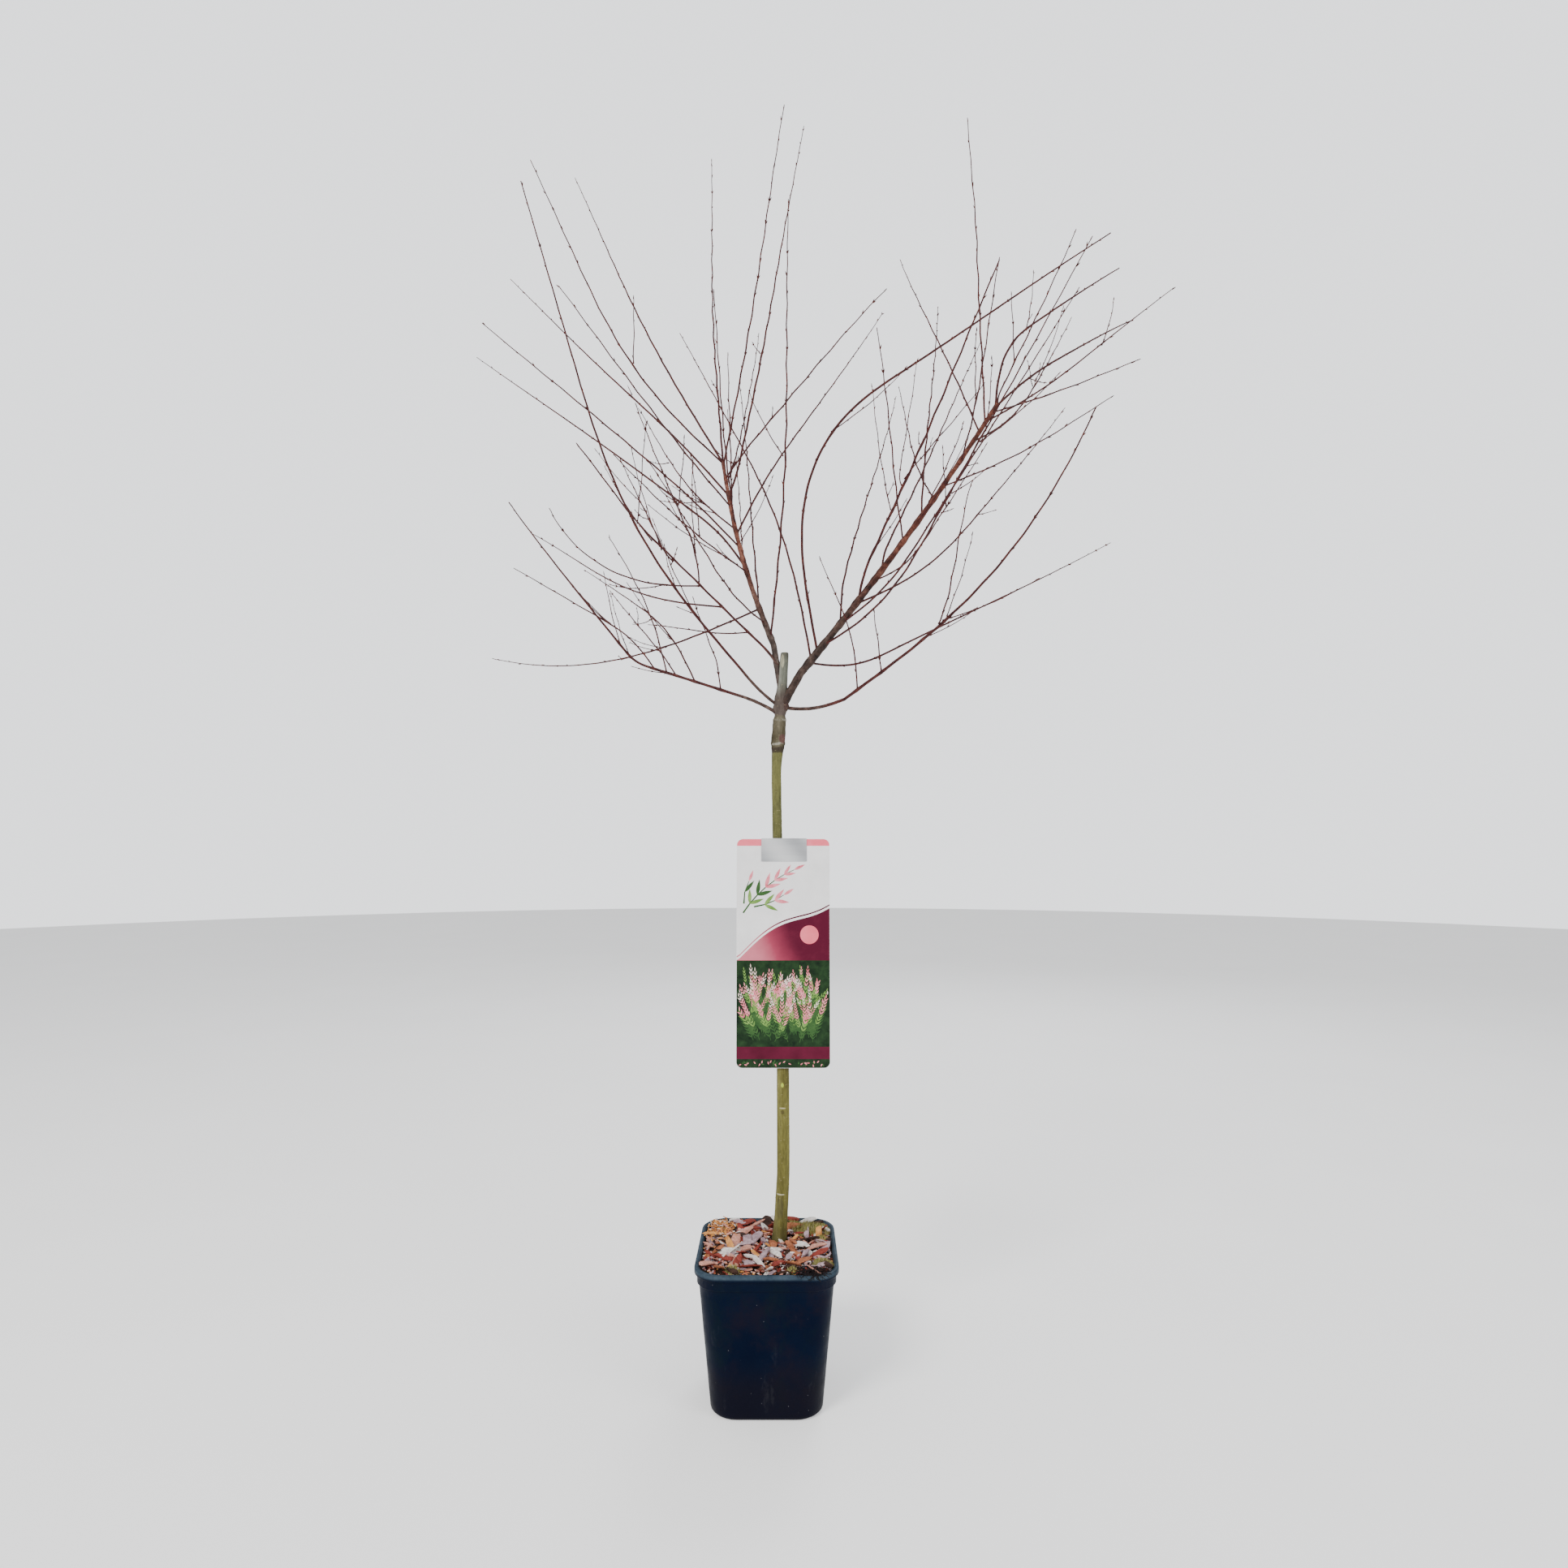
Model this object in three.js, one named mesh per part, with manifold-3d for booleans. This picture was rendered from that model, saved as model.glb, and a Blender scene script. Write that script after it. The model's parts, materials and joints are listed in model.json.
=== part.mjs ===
// Potted dappled willow grafted as a small standard, bare in winter, in a square nursery pot.
// Millimetres, +Z up, +X to the viewer's right and +Y away from the viewer.
// The origin is the centre of the pot's flat underside.

import * as THREE from 'three';
import { mergeVertices } from 'three/addons/utils/BufferGeometryUtils.js';
import Module from 'manifold-3d';

const wasm = await Module();
wasm.setup();

// Clearance between pieces that touch on the real plant
const GAP = 0.3;

// Square pot with rounded corners. Its half width grows evenly from the foot to the rim.
const POT_HEIGHT = 172.9;
const POT_FOOT_HALF = 67.5;
const POT_FLARE = 0.0875;
const POT_WALL = 1.6;
const POT_FLOOR = 2.5;
const POT_CORNER_RATIO = 0.36;
const RIM_HALF = 86.5;
const RIM_BOTTOM = 165.8;
const COLLAR_HALF = 83.4;
const COLLAR_BOTTOM = 154;

// Filling: potting mix below, a layer of bark mulch with loose chips and moss above
const MIX_TOP = 163;
const MULCH_BOTTOM = MIX_TOP + GAP;
const MULCH_TOP = 170;
const CHIP_COUNT = 46;
const CHIP_LENGTH = [15, 32];
const CHIP_WIDTH = [7, 13];
const CHIP_THICKNESS = 3.2;
const CHIP_TILT = 0.22;
const CHIP_CLEAR_OF_STEM = 28;
const CHIP_HEAP = 5;
const MOSS = [
  { x: 52, y: 58, radius: 15 },
  { x: 60, y: -48, radius: 14 },
  { x: -28, y: -62, radius: 13 },
];
const MOSS_HEIGHT = 4.2;

// Stem: height, sideways lean of its centre and radius, from the flared foot in the mulch past
// the swollen graft to the crotch, and on up the pruned stub of the rootstock
const STEM_Y = 25;
const STEM_FOOT = MULCH_TOP + GAP;
const STEM_STATIONS = [
  { z: STEM_FOOT, x: 14.4, radius: 9.8 },
  { z: 182, x: 15.7, radius: 8.9 },
  { z: 208, x: 17.6, radius: 8.5 },
  { z: 255, x: 19.9, radius: 8.3 },
  { z: 380, x: 19.4, radius: 8.0 },
  { z: 538, x: 15.4, radius: 7.3 },
  { z: 701, x: 11.6, radius: 6.3 },
  { z: 768, x: 10.6, radius: 6.3 },
  { z: 788, x: 11.4, radius: 7.2 },
  { z: 803, x: 12.6, radius: 9.1 },
  { z: 818, x: 13.4, radius: 9.2 },
  { z: 833, x: 14.2, radius: 8.8 },
  { z: 843, x: 15.3, radius: 7.0 },
  { z: 857, x: 16.6, radius: 7.6 },
  { z: 876, x: 17.6, radius: 6.4 },
  { z: 900, x: 19.5, radius: 5.7 },
  { z: 929, x: 21.6, radius: 5.2 },
];
const STEM_RINGS = 30;
const STEM_SIDES = 12;

// Hanging label, the folded clip over its top edge and the band that ties the clip to the stem
const LABEL_WIDTH = 121;
const LABEL_HEIGHT = 294;
const LABEL_THICKNESS = 0.8;
const LABEL_CORNER = 8;
const LABEL_X = 19.6;
const LABEL_TOP = 681.2;
const LABEL_BACK_Y = 15.2;
const CLIP_WIDTH = 59;
const CLIP_DROP = 30;
const CLIP_SHEET = 0.5;
const CLIP_X = 20.7;
const TIE_Z = 665;
const TIE_HEIGHT = 9;
const TIE_BAND = 1;
const TIE_PAD_WIDTH = 12;
const TIE_X = 12.4;
const TIE_STEM_RADIUS = 6.75;

// A limb leaves its parent in the upright plane of one compass heading (degrees, 0 right,
// 90 away from the viewer). It starts at the elevation "rise" and bends evenly to the
// elevation "tip" between the shares bendFrom and bendTo of its length.
const BOUGH_SIDES = 8;
const STEM_OF_MASS_SIDES = 6;
const TWIG_SIDES = 3;
const BOUGHS = {
  left_bough: {
    base: { x: 16.5, z: 883 }, heading: 165, rise: 79, tip: 81, length: 58, radii: [4.5, 4.1], sink: 4,
  },
  upper_left_bough: {
    base: { x: 12.5, z: 912 }, heading: 200, rise: 54, tip: 39, length: 46, radii: [1.9, 1.7], sink: 0,
  },
  right_bough: {
    base: { x: 20.8, z: 863 }, heading: -10, rise: 59, tip: 60, length: 44, radii: [5.8, 5.2], sink: 5,
  },
  low_right_bough: {
    base: { x: 24, z: 855 }, heading: -18, rise: -9, tip: 18, length: 80, radii: [2.5, 2.2], sink: 6,
  },
  long_left_bough: {
    base: { x: 8.8, z: 861 }, heading: 190, rise: 37, tip: 50, length: 63, radii: [2.1, 1.9], sink: 6,
  },
  low_left_bough: {
    base: { x: 5.5, z: 852 }, heading: 172, rise: 32, tip: 22, length: 39, radii: [2.4, 2.2], sink: 8,
  },
};

const twig = (at, heading, rise, tip, length, bendTo = 0.5, bendFrom = 0, twigs = []) => (
  { at, heading, rise, tip, length, bendTo, bendFrom, twigs }
);

// Masses of twigs. Each has one stem that carries on from its bough, and long shoots that
// leave the stem at the share "at" of its length. Short seeded sprigs fill in between them.
const MASSES = {
  left_twigs: {
    bough: 'left_bough', seed: 152, sprigs: 14, radii: [4.0, 2.1],
    stem: twig(0, 165, 68, 79, 270, 0.85),
    shoots: [
      twig(0.99, 142, 56, 63, 650, 0.90),
      twig(0.99, 217, 28, 58, 425, 0.70),
      twig(1.00, 102, 68, 82, 560, 0.90),
      twig(0.98, 300, 65, 68, 435, 0.40),
      twig(0.91, 312, 33, 23, 325, 0.30),
      twig(0.88, 80, 46, 62, 400, 0.60),
      twig(0.82, 50, 64, 76, 655, 0.10),
      twig(0.81, 148, 49, 45, 640, 0.40),
      twig(0.75, 230, 27, 44, 340, 1.60),
      twig(0.73, 268, 60, 72, 200, 0.50),
      twig(0.66, 265, 36, 55, 290, 0.60),
      twig(0.63, 132, 37, 56, 360, 1.00),
      twig(0.61, 40, 62, 54, 510, 0.40),
      twig(0.53, 205, 40, 33, 415, 0.40),
      twig(0.47, 96, 35, 55, 300, 0.70),
      twig(0.42, 152, 55, 38, 670, 0.20),
      twig(0.40, 238, 9, 17, 275, 0.70),
      twig(0.20, 154, -16, 32, 480, 1.60),
      twig(0.20, 104, 69, 71, 400, 1.45),
      twig(0.12, 243, 9, 30, 300, 0.55),
      twig(0.04, 279, 52, 83, 540, 0.60),
    ],
  },
  upper_left_twigs: {
    bough: 'upper_left_bough', seed: 106, sprigs: 10, radii: [1.6, 0.8],
    stem: twig(0, 208, 37, 50, 325, 0.80, 0.50),
    shoots: [
      twig(0.45, 130, 34, 54, 225, 0.15),
      twig(0.31, 250, 82, 36, 245, 0.35),
      twig(0.31, 216, -9, 85, 225, 1.60),
      twig(0.19, 156, 10, 33, 345, 0.75),
      twig(0.04, 150, 2, 13, 170, 0.50),
    ],
  },
  long_left_twigs: {
    bough: 'long_left_bough', seed: 196, sprigs: 4, radii: [1.8, 0.7],
    stem: twig(0, 203, 46, 72, 670, 0.65),
    shoots: [],
  },
  low_left_twigs: {
    bough: 'low_left_bough', seed: 234, sprigs: 11, radii: [2.1, 0.8],
    stem: twig(0, 168, 19, 51, 475, 0.40, 0.30),
    shoots: [
      twig(0.29, 205, 54, 25, 225, 0.45),
      twig(0.25, 236, 68, 46, 195, 0.75),
      twig(0.22, 136, 50, 42, 215, 0.35),
      twig(0.16, 138, 57, 32, 330, 0.55),
      twig(0.08, 250, 78, 42, 140, 0.45),
    ],
  },
  right_twigs: {
    bough: 'right_bough', seed: 237, sprigs: 16, radii: [5.1, 2.4],
    stem: twig(0, -9, 50, 62, 435, 1.60),
    shoots: [
      twig(0.99, 44, 41, 33, 495, 0.45),
      twig(0.99, 34, 83, 38, 405, 0.40),
      twig(1.00, -60, 78, 47, 210, 0.10),
      twig(0.97, -42, -2, 3, 195, 0.90),
      twig(0.94, 8, 30, 40, 335, 0.55),
      twig(0.93, 245, 86, 63, 380, 0.80, 0.55),
      twig(0.90, 120, 64, 63, 370, 0.35),
      twig(0.87, 44, 31, 52, 385, 0.55),
      twig(0.80, 275, 30, 52, 240, 0.60),
      twig(0.71, -38, 6, 20, 230, 0.90),
      twig(0.66, 98, 40, 60, 300, 0.60),
      twig(0.59, 74, 70, 61, 475, 0.15),
      twig(0.57, 292, 34, 52, 145, 1.60),
      twig(0.50, 250, 48, 62, 260, 0.50),
      twig(0.39, 53, 78, 54, 555, 0.10),
      twig(0.36, -45, 6, 46, 225, 0.45),
      twig(0.28, -62, 76, 45, 420, 0.15, 0, [
        twig(0.38, 120, 60, 106, 150, 0.15),
        twig(0.30, 230, 67, 86, 155, 1.20),
        twig(0.40, 310, 35, 30, 145, 0.30),
      ]),
      twig(0.27, 30, 26, 48, 540, 0.50),
      twig(0.19, -26, 30, 54, 495, 0.30),
      twig(0.19, 66, 84, 56, 505, 0.20),
      twig(0.11, -44, 16, 52, 555, 0.40),
      twig(0.08, 20, 101, 38, 930, 0.50, 0.05),
      twig(0.05, 140, 78, 59, 605, 0.60),
      twig(0.04, 29, -2, 27, 635, 0.22),
    ],
  },
  low_right_twigs: {
    bough: 'low_right_bough', seed: 155, sprigs: 3, radii: [2.1, 0.8],
    stem: twig(0, -36, 28, 64, 455, 1.25),
    shoots: [
      twig(0.35, 275, 20, 48, 190, 0.60),
      twig(0.14, 250, 68, 60, 80, 1.00),
      twig(0.05, 160, 88, 66, 190, 0.75),
    ],
  },
};

// Thickness of a shoot from its length: longer whips start thicker, and most of the taper is
// near the tip
const SHOOT_BASE_RADIUS = 0.8;
const SHOOT_RADIUS_PER_MM = 0.00115;
const SHOOT_TAPER = 1.6;
const SHOOT_TIP_RADIUS = 0.5;
// Spacing of the rings along a limb
const RING_SPACING = 62;
const MIN_RINGS = 3;

// Seeded sprigs: where they sit on their parent, how long they are and how they turn
const SPRIG_AT = [0.12, 0.62];
const SPRIG_LENGTH = [50, 135];
const SPRIG_SPREAD = [24, 42];
const SPRIG_BEND = 12;
const GOLDEN_ANGLE = 137.5;
// Sample distance and clearance used when a sprig is tested against the other limbs
const SAMPLE_STEP = 6;
const SPRIG_CLEARANCE = 5;

const rad = THREE.MathUtils.degToRad;
const lerp = THREE.MathUtils.lerp;
const smooth = (t) => THREE.MathUtils.smoothstep(t, 0, 1);

function seededRandom(seed) {
  let state = seed;
  return (low = 0, high = 1) => {
    state = (state * 1664525 + 1013904223) % 4294967296;
    return lerp(low, high, state / 4294967296);
  };
}

// A three.js geometry as a closed solid. Triangles that collapse at a lathe's axis are dropped.
function solidOf(geometry) {
  const bare = geometry.clone();
  bare.deleteAttribute('normal');
  bare.deleteAttribute('uv');
  const merged = mergeVertices(bare, 1e-4);
  const corners = merged.index.array;
  const kept = [];
  for (let i = 0; i < corners.length; i += 3) {
    const [a, b, c] = [corners[i], corners[i + 1], corners[i + 2]];
    if (a !== b && b !== c && c !== a) kept.push(a, b, c);
  }
  return new wasm.Manifold(new wasm.Mesh({
    numProp: 3,
    vertProperties: merged.attributes.position.array,
    triVerts: new Uint32Array(kept),
  }));
}

function geometryOf(solid) {
  const mesh = solid.getMesh();
  const geometry = new THREE.BufferGeometry();
  geometry.setAttribute('position', new THREE.BufferAttribute(mesh.vertProperties, 3));
  geometry.setIndex(new THREE.BufferAttribute(mesh.triVerts, 1));
  geometry.computeVertexNormals();
  return geometry;
}

const joined = (solids) => solids.reduce((whole, next) => whole.add(next));

// The main piece of a cut solid: slivers left beside the cut are dropped
function mainPiece(solid) {
  return solid.decompose().reduce((best, next) => (next.volume() > best.volume() ? next : best));
}

// Course of a limb from a start point, in the upright plane of its heading
function limbPath(start, shape) {
  const { heading, rise, tip, length, bendFrom = 0, bendTo = 1 } = shape;
  const outward = new THREE.Vector3(Math.cos(rad(heading)), Math.sin(rad(heading)), 0);
  const side = new THREE.Vector3(-outward.y, outward.x, 0);
  const directionAt = (t) => {
    const bend = smooth((t - bendFrom) / (bendTo - bendFrom));
    const elevation = rad(lerp(rise, tip, bend));
    return outward.clone().multiplyScalar(Math.cos(elevation)).setZ(Math.sin(elevation));
  };
  const steps = Math.max(8, Math.round(length / SAMPLE_STEP));
  const points = [start.clone()];
  for (let i = 0; i < steps; i += 1) {
    const step = directionAt((i + 0.5) / steps).multiplyScalar(length / steps);
    points.push(points[i].clone().add(step));
  }
  const pointAt = (t) => {
    const place = THREE.MathUtils.clamp(t, 0, 1) * steps;
    const i = Math.min(Math.floor(place), steps - 1);
    return points[i].clone().lerp(points[i + 1], place - i);
  };
  return { shape, length, side, points, pointAt, directionAt };
}

// Tapered lathe bent along a limb's course; grow swells it all round to cut its neighbours clear
function limbSolid(path, radii, sides, grow = 0, taper = 1) {
  const rings = Math.max(MIN_RINGS, Math.round(path.length / RING_SPACING));
  const profile = [new THREE.Vector2(0, -grow)];
  for (let i = 0; i <= rings; i += 1) {
    const t = i / rings;
    const along = lerp(-grow, path.length + grow, t);
    profile.push(new THREE.Vector2(lerp(radii[0], radii[1], t ** taper) + grow, along));
  }
  profile.push(new THREE.Vector2(0, path.length + grow));
  const geometry = new THREE.LatheGeometry(profile, sides);
  const position = geometry.attributes.position;
  for (let i = 0; i < position.count; i += 1) {
    const along = position.getY(i);
    const t = along / path.length;
    const direction = path.directionAt(THREE.MathUtils.clamp(t, 0, 1));
    const across = path.side.clone().cross(direction);
    const overrun = along - THREE.MathUtils.clamp(along, 0, path.length);
    const point = path.pointAt(t)
      .addScaledVector(direction, overrun)
      .addScaledVector(path.side, position.getX(i))
      .addScaledVector(across, position.getZ(i));
    position.setXYZ(i, point.x, point.y, point.z);
  }
  return solidOf(geometry);
}

// Stack of rounded squares: each level of the profile gives a height and a half width
function roundedSquareStack(profile) {
  const r = POT_CORNER_RATIO;
  const shape = new THREE.Shape();
  shape.moveTo(1 - r, -1);
  shape.absarc(1 - r, r - 1, r, -Math.PI / 2, 0);
  shape.absarc(1 - r, 1 - r, r, 0, Math.PI / 2);
  shape.absarc(r - 1, 1 - r, r, Math.PI / 2, Math.PI);
  shape.absarc(r - 1, r - 1, r, Math.PI, 1.5 * Math.PI);
  const steps = profile.length - 1;
  const geometry = new THREE.ExtrudeGeometry(shape, {
    depth: 1, steps, bevelEnabled: false, curveSegments: 5,
  });
  const position = geometry.attributes.position;
  for (let i = 0; i < position.count; i += 1) {
    const [z, half] = profile[Math.round(position.getZ(i) * steps)];
    position.setXYZ(i, position.getX(i) * half, position.getY(i) * half, z);
  }
  return solidOf(geometry);
}

const potHalf = (z) => POT_FOOT_HALF + POT_FLARE * z;
const potInnerHalf = (z) => potHalf(z) - POT_WALL;
const fillHalf = (z) => potInnerHalf(z) - GAP;

function potSolid() {
  const outer = roundedSquareStack([
    [0, potHalf(0) - 3.5],
    [1.5, potHalf(0) - 1.2],
    [5, potHalf(5)],
    [COLLAR_BOTTOM, potHalf(COLLAR_BOTTOM)],
    [COLLAR_BOTTOM + 0.4, COLLAR_HALF],
    [RIM_BOTTOM - 0.4, COLLAR_HALF],
    [RIM_BOTTOM, RIM_HALF],
    [POT_HEIGHT - 1.2, RIM_HALF],
    [POT_HEIGHT, RIM_HALF - 1],
  ]);
  const hollow = roundedSquareStack([
    [POT_FLOOR, potInnerHalf(POT_FLOOR)],
    [POT_HEIGHT + 1, potInnerHalf(POT_HEIGHT + 1)],
  ]);
  return outer.subtract(hollow);
}

function mixSolid() {
  const bottom = POT_FLOOR + GAP;
  return roundedSquareStack([[bottom, fillHalf(bottom)], [MIX_TOP, fillHalf(MIX_TOP)]]);
}

// Level bed of mulch with seeded bark chips half sunk in it and low cushions of moss
function mulchSolid() {
  const random = seededRandom(7);
  const pieces = [roundedSquareStack([
    [MULCH_BOTTOM, fillHalf(MULCH_BOTTOM)],
    [MULCH_TOP, fillHalf(MULCH_TOP)],
  ])];
  const reach = fillHalf(MULCH_TOP) - CHIP_LENGTH[1] / 2 - 1;
  while (pieces.length <= CHIP_COUNT) {
    const x = random(-reach, reach);
    const y = random(-reach, reach);
    const chip = new THREE.BoxGeometry(random(...CHIP_LENGTH), random(...CHIP_WIDTH), CHIP_THICKNESS);
    const tilt = new THREE.Euler(
      random(-CHIP_TILT, CHIP_TILT),
      random(-CHIP_TILT, CHIP_TILT),
      random(0, Math.PI),
    );
    chip.applyMatrix4(new THREE.Matrix4().makeRotationFromEuler(tilt));
    chip.translate(x, y, MULCH_TOP + random(0, 1));
    const nearStem = Math.hypot(x - STEM_STATIONS[0].x, y - STEM_Y) < CHIP_CLEAR_OF_STEM;
    if (!nearStem) pieces.push(solidOf(chip));
  }
  for (const { x, y, radius } of MOSS) {
    const cushion = new THREE.IcosahedronGeometry(1, 1);
    cushion.scale(radius, radius, MOSS_HEIGHT);
    cushion.translate(x, y, MULCH_TOP);
    pieces.push(solidOf(cushion));
  }
  const room = roundedSquareStack([
    [MULCH_BOTTOM, fillHalf(MULCH_BOTTOM)],
    [POT_HEIGHT, fillHalf(POT_HEIGHT)],
    [POT_HEIGHT + CHIP_HEAP, fillHalf(POT_HEIGHT)],
  ]);
  return mainPiece(joined(pieces).intersect(room));
}

// Round stem that leans and swells by its stations and stays level at both cut ends
function stemSolid(grow = 0) {
  const course = new THREE.CatmullRomCurve3(
    STEM_STATIONS.map(({ z, x, radius }) => new THREE.Vector3(x, radius, z)),
    false,
    'centripetal',
  );
  const rings = course.getPoints(STEM_RINGS);
  rings[0].z -= grow;
  rings[STEM_RINGS].z += grow;
  const profile = rings.map((ring) => new THREE.Vector2(ring.y + grow, ring.z));
  const top = rings[STEM_RINGS].z;
  const foot = rings[0].z;
  const lathe = new THREE.LatheGeometry(
    [new THREE.Vector2(0, foot), ...profile, new THREE.Vector2(0, top)],
    STEM_SIDES,
  );
  const position = lathe.attributes.position;
  for (let i = 0; i < position.count; i += 1) {
    const height = position.getY(i);
    const ring = rings.findIndex(({ z }) => Math.abs(z - height) < 1e-3);
    position.setXYZ(i, rings[ring].x + position.getZ(i), STEM_Y + position.getX(i), height);
  }
  return solidOf(lathe);
}

function labelSolid() {
  const w = LABEL_WIDTH / 2;
  const h = LABEL_HEIGHT / 2;
  const r = LABEL_CORNER;
  const outline = new THREE.Shape();
  outline.moveTo(w - r, -h);
  outline.absarc(w - r, r - h, r, -Math.PI / 2, 0);
  outline.absarc(w - r, h - r, r, 0, Math.PI / 2);
  outline.absarc(r - w, h - r, r, Math.PI / 2, Math.PI);
  outline.absarc(r - w, r - h, r, Math.PI, 1.5 * Math.PI);
  const sheet = new THREE.ExtrudeGeometry(outline, {
    depth: LABEL_THICKNESS, bevelEnabled: false, curveSegments: 5,
  });
  sheet.rotateX(Math.PI / 2);
  sheet.translate(LABEL_X, LABEL_BACK_Y, LABEL_TOP - h);
  return solidOf(sheet);
}

// Thin sheet folded over the label's top edge, clear of it on both faces and above
function clipSolid() {
  const front = LABEL_BACK_Y - LABEL_THICKNESS - GAP;
  const back = LABEL_BACK_Y + GAP;
  const under = LABEL_TOP + GAP;
  const over = under + CLIP_SHEET;
  const drop = over - CLIP_DROP;
  const fold = new THREE.Shape([
    [front - CLIP_SHEET, drop], [front, drop], [front, under], [back, under],
    [back, drop], [back + CLIP_SHEET, drop], [back + CLIP_SHEET, over], [front - CLIP_SHEET, over],
  ].map(([y, z]) => new THREE.Vector2(y, z)));
  const sheet = new THREE.ExtrudeGeometry(fold, { depth: CLIP_WIDTH, bevelEnabled: false });
  const turn = new THREE.Matrix4().makeBasis(
    new THREE.Vector3(0, 1, 0),
    new THREE.Vector3(0, 0, 1),
    new THREE.Vector3(1, 0, 0),
  );
  sheet.applyMatrix4(turn);
  sheet.translate(CLIP_X - CLIP_WIDTH / 2, 0, 0);
  return solidOf(sheet);
}

// Band round the stem with a flat pad that lies against the back of the clip
function tieSolid() {
  const inner = TIE_STEM_RADIUS + GAP;
  const outer = inner + TIE_BAND;
  const half = TIE_HEIGHT / 2;
  const band = new THREE.LatheGeometry([
    [inner, -half], [outer, -half], [outer, half], [inner, half], [inner, -half],
  ].map(([r, z]) => new THREE.Vector2(r, z)), 16);
  band.rotateX(Math.PI / 2);
  band.translate(TIE_X, STEM_Y, TIE_Z);
  const padFront = LABEL_BACK_Y + 2 * GAP + CLIP_SHEET;
  const padBack = STEM_Y - inner - 0.4;
  const pad = new THREE.BoxGeometry(TIE_PAD_WIDTH, padBack - padFront, TIE_HEIGHT);
  pad.translate(TIE_X, (padFront + padBack) / 2, TIE_Z);
  return solidOf(band).add(solidOf(pad)).subtract(stemSolid(GAP));
}

// Course of each bough, rooted on the stem or, for the upper left one, on the left bough
function boughPath({ base, heading, rise, tip, length, sink }) {
  const start = new THREE.Vector3(base.x, STEM_Y, base.z);
  const course = limbPath(start, { heading, rise, tip, length });
  start.addScaledVector(course.directionAt(0), -sink);
  return limbPath(start, { heading, rise, tip, length: length + sink });
}

const shootRadii = (length) => [SHOOT_BASE_RADIUS + SHOOT_RADIUS_PER_MM * length, SHOOT_TIP_RADIUS];

// All long limbs of a mass: its stem, the shoots on it and the twigs on those
function massLimbs({ stem, shoots, radii }, boughEnd) {
  const limbs = [{ path: limbPath(boughEnd, stem), radii, sides: STEM_OF_MASS_SIDES, taper: 1 }];
  const addShoots = (parent, list) => {
    for (const shape of list) {
      const path = limbPath(parent.pointAt(shape.at), shape);
      limbs.push({ path, radii: shootRadii(shape.length), sides: TWIG_SIDES, taper: SHOOT_TAPER });
      addShoots(path, shape.twigs);
    }
  };
  addShoots(limbs[0].path, shoots);
  return limbs;
}

function clearOf(path, others) {
  return path.points.slice(2).every((point) => (
    others.every((other) => (
      other.points.every((sample) => sample.distanceTo(point) > SPRIG_CLEARANCE)
    ))
  ));
}

// Short twigs dealt out over the limbs of a mass by a seeded rule. One that would leave the
// mass's own space or touch another limb is skipped.
// Heading and elevation of a side shoot that stands off its parent by "spread" degrees,
// "turn" degrees round it
function turnedFrom(parent, at, spread, turn) {
  const ahead = parent.directionAt(at);
  const across = ahead.clone().cross(parent.side);
  const off = parent.side.clone().multiplyScalar(Math.cos(rad(turn)));
  off.addScaledVector(across, Math.sin(rad(turn)));
  const way = ahead.multiplyScalar(Math.cos(rad(spread))).addScaledVector(off, Math.sin(rad(spread)));
  return {
    heading: THREE.MathUtils.radToDeg(Math.atan2(way.y, way.x)),
    rise: THREE.MathUtils.radToDeg(Math.asin(way.z)),
  };
}

function addSprigs(limbs, { seed, sprigs }, foreign) {
  const random = seededRandom(seed);
  const space = new THREE.Box3();
  limbs.forEach(({ path }) => path.points.forEach((point) => space.expandByPoint(point)));
  const parents = limbs.filter(({ path }) => path.length > 200);
  for (let i = 0; i < sprigs; i += 1) {
    const parent = parents[Math.floor(random(0, parents.length))].path;
    const at = random(...SPRIG_AT);
    const { heading, rise } = turnedFrom(parent, at, random(...SPRIG_SPREAD), i * GOLDEN_ANGLE);
    const length = random(...SPRIG_LENGTH);
    const shape = twig(at, heading, rise, rise + SPRIG_BEND, length, 1);
    const path = limbPath(parent.pointAt(at), shape);
    const others = [...foreign, ...limbs.map((limb) => limb.path)].filter((other) => other !== parent);
    if (space.containsPoint(path.pointAt(1)) && clearOf(path, others)) {
      limbs.push({ path, radii: shootRadii(length), sides: TWIG_SIDES, taper: SHOOT_TAPER });
    }
  }
}

function matte(color, roughness, metalness = 0) {
  return new THREE.MeshStandardMaterial({ color, roughness, metalness });
}

const FINISH = {
  pot: matte(0x24282c, 0.45),
  mix: matte(0x2b211b, 1),
  mulch: matte(0x6a4636, 0.95),
  stem: matte(0x5d5a45, 0.85),
  bough: matte(0x4b3833, 0.8),
  twigs: matte(0x4c2a2a, 0.7),
  label: matte(0xe9e6ea, 0.35),
  clip: matte(0xa9a9ae, 0.4, 0.9),
  tie: matte(0x2a2d30, 0.6),
};

const plant = new THREE.Group();

function addPiece(name, solid, material) {
  const mesh = new THREE.Mesh(geometryOf(solid), material);
  mesh.name = name;
  plant.add(mesh);
}

addPiece('pot', potSolid(), FINISH.pot);
addPiece('potting_mix', mixSolid(), FINISH.mix);
addPiece('bark_mulch', mulchSolid(), FINISH.mulch);
addPiece('stem', stemSolid(), FINISH.stem);

const boughPaths = {};
let keepClear = stemSolid(GAP);
for (const [name, bough] of Object.entries(BOUGHS)) {
  const path = boughPath(bough);
  boughPaths[name] = path;
  const solid = limbSolid(path, bough.radii, BOUGH_SIDES);
  addPiece(name, mainPiece(solid.subtract(keepClear)), FINISH.bough);
  keepClear = keepClear.add(limbSolid(path, bough.radii, BOUGH_SIDES, GAP));
}

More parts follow.
